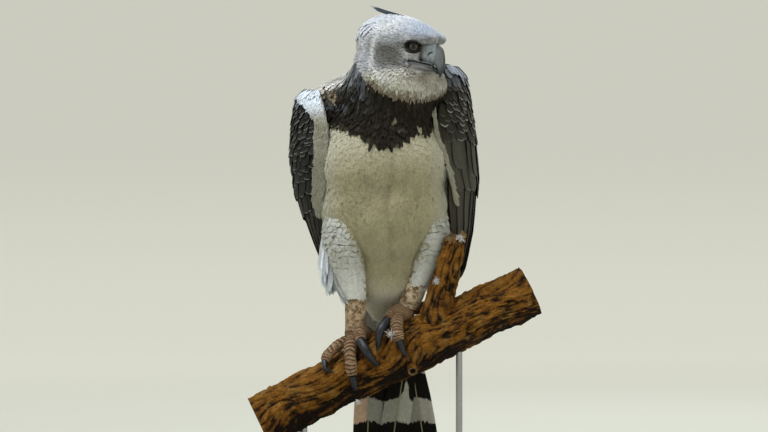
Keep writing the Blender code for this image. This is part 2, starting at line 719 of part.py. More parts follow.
def foot(side, skin, horn):
    """The pad and four toes with raised scutes as one piece, and its four claws."""
    toes, claws = [], []
    for toe, (toe_places, claw_places) in FEET[side].items():
        scutes = TOE_SCUTES[toe]
        count = 2 * scutes + 4
        path, out = toe_line(side, toe_places, count)
        step = np.arange(count)
        band = np.where(step % 2 == 0, 1.06, 0.92)
        share = np.linspace(0.0, 1.0, count)
        plain = TOE_RADIUS * (1.10 - 0.22 * share) * np.where(toe in ("outer",), 0.92, 1.0)
        size = plain * np.where(share > 0.3, band, 1.0)
        size[0] *= 0.8
        size[-1] *= 0.72
        toes.append(swept("toe", path, size, size * 0.95, 7, skin, out))
        path, out = toe_line(side, (toe_places[-1], *claw_places[1:]), 6)
        share = np.linspace(0.0, 1.0, 6)
        size = CLAW_BASE_RADIUS * CLAW_SIZE[toe] * (1 - share**1.6 * 0.93)
        claws.append(swept(f"claw_{side}_{toe}", path, size * 0.85, size, 7, horn, out))
    pad_point, _ = on_branch(side, (0.0 if side == "right" else -0.010, 0, 0.016))
    pad = ball(f"foot_{side}", pad_point, (0.026, 0.024, 0.020), skin, 6, 10)
    return fuse(f"foot_{side}", [pad, *toes]), claws


# Wing stations from the top down: height share, middle x, half width, middle y, half depth,
# the front edge's angle, and how near the back edge comes to the middle of the back
WINGS = {
    "right": (
        (0.00, 0.118, 0.044, 0.012, 0.040, -75, 0.088),
        (0.06, 0.104, 0.076, 0.012, 0.072, -75, 0.052),
        (0.18, 0.082, 0.106, 0.014, 0.102, -72, 0.024),
        (0.34, 0.072, 0.120, 0.022, 0.112, -68, 0.016),
        (0.52, 0.074, 0.108, 0.036, 0.104, -62, 0.014),
        (0.70, 0.076, 0.078, 0.056, 0.084, -50, 0.014),
        (0.86, 0.072, 0.056, 0.082, 0.060, -35, 0.020),
        (1.00, 0.066, 0.036, 0.108, 0.034, -15, 0.028),
    ),
    "left": (
        (0.00, 0.112, 0.040, 0.026, 0.034, -75, 0.084),
        (0.06, 0.102, 0.066, 0.024, 0.064, -75, 0.054),
        (0.18, 0.084, 0.094, 0.020, 0.098, -72, 0.028),
        (0.34, 0.076, 0.112, 0.024, 0.110, -66, 0.016),
        (0.52, 0.080, 0.112, 0.036, 0.104, -58, 0.014),
        (0.70, 0.086, 0.098, 0.054, 0.088, -48, 0.014),
        (0.86, 0.092, 0.076, 0.078, 0.064, -35, 0.022),
        (1.00, 0.092, 0.054, 0.106, 0.036, -15, 0.032),
    ),
}
ARM_THICKNESS = 0.026


def wing_point(side, across, down):
    """A point of the wing's outer face: across from its front edge to the back, down from top to tip."""
    table = np.array(WINGS[side])
    across, down = np.broadcast_arrays(np.asarray(across, float), np.asarray(down, float))
    values = [np.interp(down, table[:, 0], table[:, k]) for k in range(1, 7)]
    middle_x, half_width, middle_y, half_depth, first, inner = values
    first = np.radians(first)
    last = np.arccos(np.maximum((inner - middle_x) / half_width, -0.96))
    angle = first + (last - first) * across
    x = SIDES[side] * (middle_x + half_width * np.cos(angle))
    y = middle_y + half_depth * np.sin(angle)
    z = WING_TOP[side] + (WING_TIP[side] - WING_TOP[side]) * down
    return np.stack([x, y, z], axis=-1)


def wing_out(side, across, down):
    """The outward normal of the wing's face."""
    e = 0.004
    a = wing_point(side, np.asarray(across) + e, down) - wing_point(side, np.asarray(across) - e, down)
    d = wing_point(side, across, np.asarray(down) + e) - wing_point(side, across, np.asarray(down) - e)
    return unit(np.cross(d, a)) * SIDES[side]


def wing_core(side, material, last=0.90):
    """The folded wing as a curved slab, thickest at the arm and thin at the edges."""
    rows, columns = 9, 8
    down = np.linspace(0.0, last, rows)[:, None]
    across = np.linspace(0.0, 1.0, columns)[None]
    normal = wing_out(side, across, np.clip(down, 0.01, 0.99))
    outer = wing_point(side, across, down) - normal * CORE_DEPTH
    taper = np.interp(down, (0.0, 0.1, 0.5, 1.0), (0.7, 1.0, 0.5, 0.14))
    rim = np.sin(math.pi * (0.08 + 0.84 * across)) ** 0.6
    inner = outer - normal * (ARM_THICKNESS * taper * rim)[..., None]
    loops = np.concatenate([outer, inner[:, ::-1]], axis=1)
    return ringed(f"wing_{side}", loops, material)


CORE_DEPTH = 0.0060
# Tiers of wing feathers from the tip up: height share of the roots, number, first and last place
# across, length, width, and how far the tips rise
WING_TIERS = (
    (0.52, 7, 0.06, 0.93, 0.205, 0.050, 0.0012),
    (0.39, 6, 0.06, 0.93, 0.125, 0.056, 0.0030),
    (0.28, 6, 0.06, 0.93, 0.092, 0.055, 0.0036),
    (0.18, 5, 0.08, 0.92, 0.080, 0.057, 0.0036),
    (0.09, 5, 0.10, 0.90, 0.070, 0.050, 0.0036),
    (0.01, 4, 0.18, 0.84, 0.062, 0.044, 0.0034),
)
# How far a feather leans sideways over the next, its height over the core, the depth of its root,
# and how far apart the converging long feathers are stacked
SHINGLE = 0.11
FEATHER_LIFT = 0.0026
ROOT_SINK = 0.0022
STACK = 0.0010


def wing_vane(side, across, down, length, width, rise, order):
    """A feather that follows the wing's face, tilted so that each lies over its neighbour."""
    shares = np.array([0.0, 0.13, 0.50, 0.84, 1.0] if length > 0.15 else [0.0, 0.15, 0.72, 1.0])
    drop = down + shares * length / (WING_TOP[side] - WING_TIP[side])
    lean = np.full(len(shares), across)
    step = np.linalg.norm(wing_point(side, lean + 0.01, drop) - wing_point(side, lean - 0.01, drop), axis=-1) / 0.02
    half = blade(shares) * width / 2
    normal = wing_out(side, lean, np.clip(drop, 0.01, 0.985))
    over = np.where(shares > 0, FEATHER_LIFT + rise * shares + STACK * order * shares, -ROOT_SINK) - CORE_DEPTH
    lines = []
    for way in (-1.0, 0.0, 1.0):
        aside = lean + way * half / step
        height = over - SHINGLE * way * half
        lines.append(wing_point(side, aside, np.minimum(drop, 1.06)) + normal * height[:, None])
    return vane(*lines, normal)


def wing(side, material):
    """The core with its tiers of feathers joined on at their roots."""
    pieces = [wing_core(side, material)]
    for down, number, first, last, length, width, rise in WING_TIERS:
        for k in range(number):
            across = first + (last - first) * k / (number - 1)
            size = 1.0 - 0.12 * abs(2 * k / (number - 1) - 1.0) + 0.05 * math.sin(5 * k + 40 * down)
            order = k - number / 2 if length > 0.15 else 0.0
            pieces.append(wing_vane(side, across, down, length * size, width, rise, order))
    return fuse(f"wing_{side}", pieces)


TAIL_ROOT = (0.003, 0.122, 0.425)
TAIL_TIP = (0.028, 0.150)
TAIL_HALF_WIDTHS = (0.044, 0.093)


TAIL_FEATHERS = 12
TAIL_SPACING = 0.00125
TAIL_FEATHER_WIDTH = 0.062


def tail_core(material):
    """The root of the tail: a short flat stump that holds the feathers' quills."""
    rows, columns = 3, 6
    down = np.linspace(0.0, 0.20, rows)[:, None]
    aside = np.linspace(-1.0, 1.0, columns)[None]
    half = TAIL_HALF_WIDTHS[0] * (0.85 + 0.5 * down)
    x = TAIL_ROOT[0] + (TAIL_TIP[0] - TAIL_ROOT[0]) * down + half * aside
    y = TAIL_ROOT[1] + (TAIL_TIP[1] - TAIL_ROOT[1]) * down
    z = TAIL_ROOT[2] + (TAIL_TIP_HEIGHT - TAIL_ROOT[2]) * down + 0 * aside
    thick = (0.0115 - 0.012 * down) * (1 - 0.12 * aside**2)
    front = np.stack([x, y - thick, z], axis=-1)
    back = np.stack([x, y + thick, z], axis=-1)
    return ringed("tail", np.concatenate([front, back[:, ::-1]], axis=1), material)


def tail(material):
    """Twelve long feathers, the middle pair on top at the back, each pair further out below."""
    pieces = [tail_core(material)]
    for k in range(TAIL_FEATHERS):
        pair, sign = k // 2, 1.0 if k % 2 else -1.0
        shares = np.array([0.0, 0.15, 0.5, 0.85, 0.96, 1.0])
        top_aside = sign * (0.004 + 0.0052 * pair)
        end_aside = sign * (0.009 + (TAIL_HALF_WIDTHS[1] - TAIL_FEATHER_WIDTH / 2 - 0.009) * pair / 5)
        low = TAIL_TIP_HEIGHT + 0.0035 * pair
        top = TAIL_ROOT[2] - 0.030
        fall = shares * (TAIL_ROOT[2] - low - 0.030) / (TAIL_ROOT[2] - TAIL_TIP_HEIGHT) + 0.078
        rachis = np.stack([
            TAIL_ROOT[0] + (TAIL_TIP[0] - TAIL_ROOT[0]) * fall + top_aside + (end_aside - top_aside) * shares,
            TAIL_ROOT[1] + (TAIL_TIP[1] - TAIL_ROOT[1]) * fall + TAIL_SPACING * (TAIL_FEATHERS / 2 - k),
            top + (low - top) * shares,
        ], axis=-1)
        half = TAIL_FEATHER_WIDTH / 2 * np.interp(shares, (0.0, 0.15, 0.5, 0.85, 0.96, 1.0), (0.20, 0.45, 0.90, 1.0, 0.75, 0.16))
        side = np.stack([half, 0 * half, 0 * half], axis=-1)
        outward = np.broadcast_to([0.0, 1.0, 0.0], rachis.shape)
        pieces.append(vane(rachis - side, rachis, rachis + side, outward))
    return fuse("tail", pieces)


def stand(wood, steel, branch):
    """A flat base with rounded corners and two rods up to the branch."""
    mesh = bpy.data.meshes.new("stand_base")
    work = bmesh.new()
    bmesh.ops.create_cube(work, size=1.0)
    bmesh.ops.scale(work, vec=BASE_SIZE, verts=work.verts)
    upright = [e for e in work.edges if abs(e.verts[0].co.z - e.verts[1].co.z) > BASE_SIZE[2] / 2]
    bmesh.ops.bevel(work, geom=upright, offset=0.045, segments=6, profile=0.5, affect="EDGES")
    top = [e for e in work.edges if all(v.co.z > BASE_SIZE[2] * 0.49 for v in e.verts)]
    bmesh.ops.bevel(work, geom=top, offset=0.003, segments=2, profile=0.5, affect="EDGES")
    bmesh.ops.translate(work, vec=(*BASE_MIDDLE, BASE_SIZE[2] / 2), verts=work.verts)
    work.to_mesh(mesh)
    work.free()
    mesh.materials.append(wood)
    base = bpy.data.objects.new("stand_base", mesh)
    bpy.context.scene.collection.objects.link(base)
    run = branch_line(200)
    rods = []
    for name, x in ROD_PLACES.items():
        y, z = (np.interp(x, run[:, 0], run[:, k]) for k in (1, 2))
        path = [(x, y, BASE_SIZE[2] + GAP), (x, y, z)]
        rod = swept(name, path, ROD_RADIUS, ROD_RADIUS, 16, steel, (0, 1, 0))
        cut_clear(rod, branch)
        rods.append(rod)
    return base, rods


def main():
    for thing in list(bpy.data.objects):
        bpy.data.objects.remove(thing)
    white = colour("white_feather", (0.62, 0.60, 0.53), 0.85)
    grey = colour("grey_feather", (0.42, 0.43, 0.46), 0.85)
    slate = colour("slate_feather", (0.035, 0.037, 0.042), 0.65)
    skin = colour("leg_skin", (0.50, 0.36, 0.20), 0.60)
    horn = colour("horn", (0.015, 0.017, 0.022), 0.30)
    bill_horn = colour("bill_horn", (0.10, 0.115, 0.14), 0.40)
    eye = colour("eye", (0.16, 0.12, 0.08), 0.08)
    bark = colour("bark", (0.26, 0.15, 0.075), 0.90)
    base_wood = colour("base_wood", (0.10, 0.06, 0.035), 0.45)
    steel = colour("steel", (0.25, 0.25, 0.26), 0.35, 1.0)

    eyes = []
    for side, sign in SIDES.items():
        place = head_place(EYE_PLACE[0], sign * EYE_PLACE[1], EYE_PLACE[2])
        eyes.append(ball(f"eye_{side}", place, EYE_RADIUS, eye, 10, 14))
    the_head = head(grey, eyes)
    upper = bill_part("bill_upper", BILL_UPPER, 12, 12, bill_horn)
    lower = bill_part("bill_lower", BILL_LOWER, 8, 10, bill_horn)
    cut_clear(upper, the_head)
    nostrils(upper)
    cut_clear(lower, the_head, upper)
    the_neck = neck(slate)
    the_torso = torso(white)
    the_tail = tail(slate)
    cut_clear(the_tail, the_torso)
    branch, stub = perch(bark)
    for side in SIDES:
        thigh_table, tarsus_line = legs_table(side)
        thigh = oval_stack(f"thigh_{side}", thigh_table, 10, 16, white)
        thigh = fuse(f"thigh_{side}", [thigh] + [flag_vane(*flag) for flag in THIGH_FLAGS[side]])
        cut_clear(thigh, the_torso, stub)
        the_foot, claws = foot(side, skin, horn)
        cut_clear(the_foot, branch, stub)
        for claw in claws:
            cut_clear(claw, branch, the_foot)
        plates = TARSUS_RADIUS * np.where(np.arange(11) % 2, 1.03, 0.975)
        tarsus = swept(f"tarsus_{side}", smooth_line(tarsus_line, 11), plates, plates * 1.05, 12, skin, (0, -1, 0))
        cut_clear(tarsus, the_foot, thigh, branch, the_torso)
        the_wing = wing(side, slate)
        cut_clear(the_wing, the_torso, the_neck, the_head, thigh, the_tail)
    stand(base_wood, steel, branch)
    for thing in bpy.data.objects:
        thing.data.shade_smooth()
        thing.data.set_sharp_from_angle(angle=math.radians(40))


main()
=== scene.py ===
"""The looks of a life-size harpy eagle on a cut length of branch, held up by a plain stand.

Metres, +Z up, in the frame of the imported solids. The bird faces -Y with its head turned to its own left, +X.
Left and right in the names are the bird's own. Colours are linear red, green and blue.
"""

import math

import bpy
import numpy as np
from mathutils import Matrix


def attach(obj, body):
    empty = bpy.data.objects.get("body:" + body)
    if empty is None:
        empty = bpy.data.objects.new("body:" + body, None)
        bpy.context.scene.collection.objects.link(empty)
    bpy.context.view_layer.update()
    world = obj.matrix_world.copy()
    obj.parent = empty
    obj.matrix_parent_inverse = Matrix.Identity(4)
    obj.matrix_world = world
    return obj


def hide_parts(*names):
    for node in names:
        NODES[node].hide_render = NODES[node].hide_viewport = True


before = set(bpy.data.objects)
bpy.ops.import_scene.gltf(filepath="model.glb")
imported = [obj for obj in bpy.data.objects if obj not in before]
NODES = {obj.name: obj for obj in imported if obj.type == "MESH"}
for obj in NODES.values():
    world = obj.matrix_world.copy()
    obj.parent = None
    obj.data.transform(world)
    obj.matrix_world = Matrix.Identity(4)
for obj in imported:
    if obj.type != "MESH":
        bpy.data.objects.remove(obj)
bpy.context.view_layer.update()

SIDES = {"left": 1.0, "right": -1.0}

# Named sizes of the bird, the same as in the solids
HEAD_YAW = math.radians(60.0)
HEAD_PLACE = (0.020, -0.045)
HEAD_MIDDLE = (0.020, 0.000, 0.893)
HEAD_REACH = 0.160
EYE_RADIUS = 0.0125
EYE_PLACE = (0.0640, 0.0350, 0.8970)
BLEND = 0.010
TORSO_MASSES = (
    ((0.000, -0.018, 0.690), (0.130, 0.108, 0.105)),
    ((0.000, 0.000, 0.590), (0.120, 0.104, 0.120)),
    ((0.000, 0.036, 0.490), (0.092, 0.076, 0.100)),
    ((0.004, 0.074, 0.428), (0.050, 0.042, 0.082)),
    ((0.000, 0.034, 0.730), (0.105, 0.060, 0.080)),
    ((-0.088, 0.020, 0.776), (0.070, 0.060, 0.058)),
    ((-0.046, 0.006, 0.812), (0.050, 0.060, 0.034)),
    ((0.086, 0.024, 0.778), (0.060, 0.056, 0.068)),
    ((0.012, -0.022, 0.775), (0.098, 0.090, 0.070)),
    ((0.014, -0.020, 0.828), (0.086, 0.082, 0.072)),
    ((0.003, 0.104, 0.440), (0.046, 0.034, 0.062)),
)
HEAD_MASSES = (
    ((-0.004, 0.000, 0.909), (0.072, 0.062, 0.053), 8, 0),
    ((0.034, 0.000, 0.886), (0.056, 0.049, 0.043), 5, 0),
    ((0.044, 0.000, 0.924), (0.050, 0.040, 0.024), 20, 0),
    ((0.066, 0.000, 0.895), (0.024, 0.024, 0.024), 15, 0),
    ((0.070, 0.0300, 0.9185), (0.034, 0.0100, 0.0085), 15, -15),
    ((0.070, -0.0300, 0.9185), (0.034, 0.0100, 0.0085), 15, 15),
    ((0.014, 0.000, 0.836), (0.094, 0.086, 0.055), 14, 0),
)
SPINE = np.array((
    (0.356, 0.004, 0.076), (0.42, 0.004, 0.070), (0.49, 0.0, 0.045), (0.59, 0.0, 0.012),
    (0.69, 0.0, -0.004), (0.79, 0.008, -0.020), (0.85, 0.022, -0.040),
))
BILL_UPPER = (
    (0.056, 0.8885, 0.0150, 0.0205), (0.0700, 0.8878, 0.0190, 0.0218), (0.0800, 0.8865, 0.0214, 0.0224),
    (0.0870, 0.8838, 0.0196, 0.0220), (0.0950, 0.8795, 0.0162, 0.0204),
    (0.1030, 0.8675, 0.0108, 0.0128), (0.1060, 0.8530, 0.0064, 0.0072), (0.1040, 0.8365, 0.0012, 0.0012),
)
BILL_LOWER = (
    (0.056, 0.8610, 0.0200, 0.0080), (0.078, 0.8580, 0.0165, 0.0080),
    (0.093, 0.8515, 0.0098, 0.0056), (0.1005, 0.8450, 0.0030, 0.0020),
)
THIGHS = {
    "right": (
        (-0.066, -0.012, 0.600, 0.050, 0.058), (-0.076, -0.022, 0.540, 0.047, 0.060),
        (-0.078, -0.022, 0.485, 0.043, 0.054), (-0.068, -0.012, 0.440, 0.036, 0.043),
        (-0.058, -0.004, 0.402, 0.0235, 0.0265),
    ),
    "left": (
        (0.070, -0.006, 0.615, 0.050, 0.056), (0.088, -0.010, 0.555, 0.042, 0.054),
        (0.094, -0.010, 0.510, 0.035, 0.046), (0.084, -0.006, 0.468, 0.032, 0.036),
        (0.069, -0.002, 0.430, 0.0225, 0.0255),
    ),
}
TARSI = {
    "right": ((-0.057, -0.002, 0.415), (-0.057, -0.003, 0.375), (-0.058, -0.004, 0.335)),
    "left": ((0.068, -0.002, 0.442), (0.060, -0.002, 0.410), (0.047, -0.002, 0.382)),
}
TARSUS_RADIUS = 0.0205
TOE_RADIUS = 0.0120
CLAW_BASE_RADIUS = 0.0072
WING_TOP = {"right": 0.826, "left": 0.874}
WING_TIP = {"right": 0.405, "left": 0.398}
WINGS = {
    "right": np.array((
        (0.00, 0.118, 0.044, 0.012, 0.040, -75, 0.088), (0.06, 0.104, 0.076, 0.012, 0.072, -75, 0.052),
        (0.18, 0.082, 0.106, 0.014, 0.102, -72, 0.024), (0.34, 0.072, 0.120, 0.022, 0.112, -68, 0.016),
        (0.52, 0.074, 0.108, 0.036, 0.104, -62, 0.014), (0.70, 0.076, 0.078, 0.056, 0.084, -50, 0.014),
        (0.86, 0.072, 0.056, 0.082, 0.060, -35, 0.020), (1.00, 0.066, 0.036, 0.108, 0.034, -15, 0.028),
    )),
    "left": np.array((
        (0.00, 0.112, 0.040, 0.026, 0.034, -75, 0.084), (0.06, 0.102, 0.066, 0.024, 0.064, -75, 0.054),
        (0.18, 0.084, 0.094, 0.020, 0.098, -72, 0.028), (0.34, 0.076, 0.112, 0.024, 0.110, -66, 0.016),
        (0.52, 0.080, 0.112, 0.036, 0.104, -58, 0.014), (0.70, 0.086, 0.098, 0.054, 0.088, -48, 0.014),
        (0.86, 0.092, 0.076, 0.078, 0.064, -35, 0.022), (1.00, 0.092, 0.054, 0.106, 0.036, -15, 0.032),
    )),
}
# How far the wing's net goes on below its tip and before its front edge, as shares
WING_END = 1.04
WING_FORE = 0.06
CORE_DEPTH = 0.0060
ARM_THICKNESS = 0.026
TAIL_ROOT = (0.003, 0.122, 0.425)
TAIL_TIP = (0.028, 0.150)
TAIL_TIP_HEIGHT = 0.040
TAIL_HALF_WIDTHS = (0.044, 0.093)
TAIL_FEATHERS = 12
TAIL_SPACING = 0.00125
TAIL_FEATHER_WIDTH = 0.062
BRANCH_RADIUS = 0.052
BRANCH_RUN = ((-0.252, 0.154), (-0.168, 0.194), (-0.022, 0.268), (0.132, 0.340), (0.232, 0.386),
              (0.292, 0.414))
STUB_RUN = ((0.098, -0.030, 0.352), (0.121, -0.045, 0.440), (0.144, -0.052, 0.528))
STUB_RADIUS = 0.0225
TWIG_RUN = ((0.052, -0.020, 0.275), (0.056, -0.050, 0.260), (0.057, -0.060, 0.256))
TWIG_RADIUS = 0.0095
FOOT_MIDDLES = {"right": (-0.022, 0.268), "left": (0.072, 0.312)}
FEET = {
    "right": {
        "outer": (((-0.012, 4, 0.014), (-0.040, 16, 0.015), (-0.064, 30, 0.016), (-0.079, 40, 0.013)),
                  ((-0.083, 46, 0.011), (-0.082, 58, 0.012), (-0.068, 70, 0.003))),
        "middle": (((-0.008, 14, 0.016), (-0.020, 40, 0.017), (-0.030, 66, 0.015), (-0.040, 90, 0.012)),
                   ((-0.042, 97, 0.011), (-0.047, 112, 0.008), (-0.050, 124, 0.001))),
        "inner": (((0.002, 10, 0.018), (0.006, 28, 0.022), (0.004, 44, 0.024)),
                  ((0.006, 50, 0.025), (0.008, 68, 0.022), (0.012, 86, 0.012), (0.014, 98, 0.001))),
        "hind": (((0.004, -8, 0.015), (0.012, -34, 0.018), (0.018, -60, 0.017)),
                 ((0.019, -67, 0.017), (0.024, -90, 0.020), (0.024, -118, 0.011), (0.022, -132, 0.002))),
    },
    "left": {
        "outer": (((0.002, -6, 0.014), (0.024, -24, 0.016), (0.047, -34, 0.016)),
                  ((0.053, -37, 0.016), (0.066, -46, 0.014), (0.072, -60, 0.004))),
        "middle": (((-0.016, 12, 0.013), (-0.022, 34, 0.016), (-0.027, 54, 0.015), (-0.030, 70, 0.012)),
                   ((-0.031, 77, 0.011), (-0.032, 92, 0.009), (-0.030, 108, 0.001))),
        "inner": (((-0.020, 6, 0.018), (-0.030, 16, 0.022), (-0.036, 26, 0.021)),
                  ((-0.041, 30, 0.022), (-0.056, 42, 0.022), (-0.070, 58, 0.014), (-0.082, 70, 0.001))),
        "hind": (((-0.006, -10, 0.014), (-0.010, -36, 0.018), (-0.014, -60, 0.017)),
                 ((-0.015, -67, 0.017), (-0.014, -90, 0.020), (-0.010, -118, 0.011), (-0.008, -132, 0.002))),
    },
}
CLAW_SIZE = {"outer": 0.98, "middle": 1.08, "inner": 1.60, "hind": 1.45}

# Height of the brow's lower edge, and the middle of the cheek, along and height in the head
BROW_LINE = 0.9050
CHEEK = (0.045, 0.885)

# The lower edge of the pale hood: turn round the head from the bill, in degrees to its left, and height
HOOD_EDGE = np.array((
    (-180, 0.893), (-145, 0.880), (-132, 0.868), (-117, 0.861), (-106, 0.842), (-93, 0.825), (-80, 0.811),
    (-66, 0.801), (-51, 0.794), (-37, 0.788), (-26, 0.785), (-13, 0.787), (1, 0.793), (17.5, 0.806),
    (30, 0.812),
    (45, 0.818), (75, 0.828), (100, 0.845), (126, 0.872), (180, 0.893),
))

# The line of the mouth, along, aside and height in the head, from the cheek to between the halves of the bill
GAPE_RUN = np.array((
    (0.0600, 0.0550, 0.8686), (0.0622, 0.0536, 0.8682), (0.0692, 0.0470, 0.8678), (0.0740, 0.0400, 0.8660),
    (0.0786, 0.0345, 0.8644), (0.0835, 0.0285, 0.8632), (0.0885, 0.0230, 0.8616), (0.0930, 0.0192, 0.8600),
))

# The white strip along the front edge of each wing: share down, middle across and half width across
WHITE_STRIPS = {
    "right": np.array((
        (0.010, 0.150, 0.140), (0.050, 0.090, 0.085), (0.090, 0.052, 0.052), (0.124, 0.034, 0.042),
        (0.197, 0.030, 0.044), (0.270, 0.024, 0.042), (0.360, 0.022, 0.042), (0.450, 0.020, 0.044),
        (0.550, 0.016, 0.040), (0.600, 0.008, 0.012),
    )),
    "left": np.array((
        (0.170, -0.046, 0.003), (0.263, -0.044, 0.010), (0.317, -0.032, 0.012), (0.378, -0.022, 0.014),
        (0.440, -0.014, 0.017), (0.500, -0.010, 0.013), (0.580, -0.010, 0.003),
    )),
}

# How far the skin lies under the outside of the coat, and the step of the lattice that it is fused on
COAT_DEPTH = 0.0045
SKIN_LATTICE = 0.0040


# Rows and columns of the nets that the bird's outside is traced on
BODY_NET = (150, 160)
BODY_HEIGHTS = (0.352, 0.868)
BODY_REACH = 0.22
HEAD_NET = (120, 160)
HEAD_TILT = 10
HEAD_ENDS = (0.02, 0.98)
THIGH_NET = (60, 72)
WING_NET = (110, 90)

# Points along and round the hard parts
TOE_NET = (190, 72)
SHANK_NET = (150, 120)
PAD_NET = (80, 110)
CLAW_NET = (48, 28)
EYE_NET = (72, 96)
LID_NET = (26, 120)
GAPE_POINTS = 60


# Small tools for arrays of points


def unit(vectors):
    return vectors / np.maximum(np.linalg.norm(vectors, axis=-1, keepdims=True), 1e-12)


def dot(a, b):
    return (a * b).sum(axis=-1, keepdims=True)


def circle(count):
    """Even turns round a circle, in radians."""
    return np.linspace(0.0, 2 * math.pi, count, endpoint=False)


def bell(value, width):
    """1 at value 0, falling off on both sides as a bell of that half width."""
    return np.exp(-((value / width) ** 2))


def blot(a, wide, b, tall):
    """A bell in two directions at once."""
    return np.exp(-((a / wide) ** 2) - (b / tall) ** 2)


def smooth_line(knots, count):
    """Points on a cubic through the knots, each piece blended from its four nearest knots."""
    knots = np.asarray(knots, float)
    padded = np.concatenate([[2 * knots[0] - knots[1]], knots, [2 * knots[-1] - knots[-2]]])
    t = np.linspace(0.0, len(knots) - 1.0, count)
    i = np.minimum(t.astype(int), len(knots) - 2)
    f = (t - i)[:, None]
    a, b, c, d = (padded[i + k] for k in range(4))
    return 0.5 * (2 * b + (c - a) * f + (2 * a - 5 * b + 4 * c - d) * f**2 + (3 * b - a - 3 * c + d) * f**3)


def ease(value, low, high):
    """0 below low, 1 above high, and an S-shaped rise between them."""
    t = np.clip((value - low) / (high - low), 0.0, 1.0)
    return t * t * (3 - 2 * t)


def mixed(a, b, share):
    """Colours or numbers a and b mixed, with the share of b."""
    share = np.asarray(share)[..., None]
    return np.asarray(a, float) * (1 - share) + np.asarray(b, float) * share


def grain(points, size, seed=0, turns=3):
    """Smooth noise from -1 to 1: random numbers at the corners of a lattice of that size, eased between,
    with each finer lattice half the size and half the strength of the one before."""
    total, strength, reach = 0.0, 1.0, 0.0
    points = np.asarray(points, float) / size
    for k in range(turns):
        cell = np.floor(points).astype(np.int64)
        f = points - cell
        f = f * f * (3 - 2 * f)
        value = 0.0
        for corner in range(8):
            bits = np.array([corner & 1, corner >> 1 & 1, corner >> 2 & 1])
            at = cell + bits
            key = ((at[..., 0] * 73856093) ^ (at[..., 1] * 19349663) ^ (at[..., 2] * 83492791)
                   ^ ((seed + k) * 2654435))
            key = (key ^ (key >> 13)) * 1274126177 & 0x7FFFFFFF
            weight = np.prod(np.where(bits, f, 1 - f), axis=-1)
            value = value + weight * ((key ^ (key >> 16)) % 65536 / 32767.5 - 1.0)
        total = total + strength * value
        reach += strength
        strength *= 0.5
        points = points * 2.03
    return total / reach


# Putting arrays into meshes


def piece(name, points, faces, material, maps=None, tints=None, numbers=None, sharp=None, normals=None,
          replaces=()):
    """A mesh object from arrays: points, a list of face arrays, and per-point maps, colours and numbers.

    normals are given for each corner of each face, where the shading is softer than the shape.
    """
    mesh = bpy.data.meshes.new(name)
    points = np.asarray(points, np.float32).reshape(-1, 3)
    faces = [np.asarray(f, np.int32) for f in faces if len(f)]
    corners = np.concatenate([f.ravel() for f in faces])
    sizes = np.concatenate([np.full(len(f), f.shape[1], np.int32) for f in faces])
    starts = np.concatenate([[0], np.cumsum(sizes)[:-1]]).astype(np.int32)
    mesh.vertices.add(len(points))
    mesh.vertices.foreach_set("co", points.ravel())
    mesh.loops.add(len(corners))
    mesh.loops.foreach_set("vertex_index", corners)
    mesh.polygons.add(len(sizes))
    mesh.polygons.foreach_set("loop_start", starts)
    mesh.update(calc_edges=True)
    mesh.shade_smooth()
    for key, values in (maps or {}).items():
        layer = mesh.uv_layers.new(name=key)
        layer.uv.foreach_set("vector", np.asarray(values, np.float32).reshape(-1, 2)[corners].ravel())
    for key, values in (tints or {}).items():
        values = np.asarray(values, np.float32).reshape(-1, 3)
        full = np.concatenate([values, np.ones((len(values), 1), np.float32)], axis=1)
        mesh.color_attributes.new(key, "FLOAT_COLOR", "POINT").data.foreach_set("color", full.ravel())
    for key, values in (numbers or {}).items():
        layer = mesh.attributes.new(key, "FLOAT", "POINT")
        layer.data.foreach_set("value", np.asarray(values, np.float32).ravel())
    if sharp is not None:
        ends = np.empty(len(mesh.edges) * 2, np.int32)
        mesh.edges.foreach_get("vertices", ends)
        marks = np.asarray(sharp).ravel()[ends.reshape(-1, 2)]
        both = (marks[:, 0] > 0) & (marks[:, 0] == marks[:, 1])
        mesh.attributes.new("sharp_edge", "BOOLEAN", "EDGE").data.foreach_set("value", both)
    if normals is not None:
        mesh.normals_split_custom_set(np.asarray(normals, np.float32).reshape(-1, 3))
    mesh.materials.append(material)
    thing = put(name, mesh)
    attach(thing, "root")
    if replaces:
        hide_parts(*replaces)
    return thing


def put(name, data):
    """A new object in the scene that shows the data."""
    thing = bpy.data.objects.new(name, data)
    bpy.context.scene.collection.objects.link(thing)
    return thing


def net(rows, columns, closed=True, start=0):
    """Quads of a net of rows and columns, the last column joined to the first where it is closed."""
    r = np.arange(rows - 1)[:, None]
    c = np.arange(columns if closed else columns - 1)[None]
    d = (c + 1) % columns
    quads = np.stack([r * columns + c, r * columns + d, (r + 1) * columns + d, (r + 1) * columns + c],
                     axis=-1)
    return quads.reshape(-1, 4) + start


def capped(rings, start=0):
    """Points and faces of closed rings (ring, column, xyz), with a fan to the middle of each end.

    The faces are turned outwards by the sign of the volume that they enclose.
    """
    rings = np.asarray(rings, float)
    count, columns, _ = rings.shape
    points = np.concatenate([rings.reshape(-1, 3), [rings[0].mean(axis=0)], [rings[-1].mean(axis=0)]])
    c = np.arange(columns)
    d = (c + 1) % columns
    last = (count - 1) * columns
    quads = net(count, columns)
    fans = np.concatenate([
        np.stack([np.full(columns, count * columns), d, c], axis=-1),
        np.stack([np.full(columns, count * columns + 1), last + c, last + d], axis=-1),
    ])
    a, b, e, f = (points[quads[:, k]] for k in range(4))
    size = (a * np.cross(b, e)).sum() + (a * np.cross(e, f)).sum()
    size += (points[fans[:, 0]] * np.cross(points[fans[:, 1]], points[fans[:, 2]])).sum()
    if size < 0:
        quads, fans = quads[:, ::-1], fans[:, ::-1]
    return points, [quads + start, fans + start]


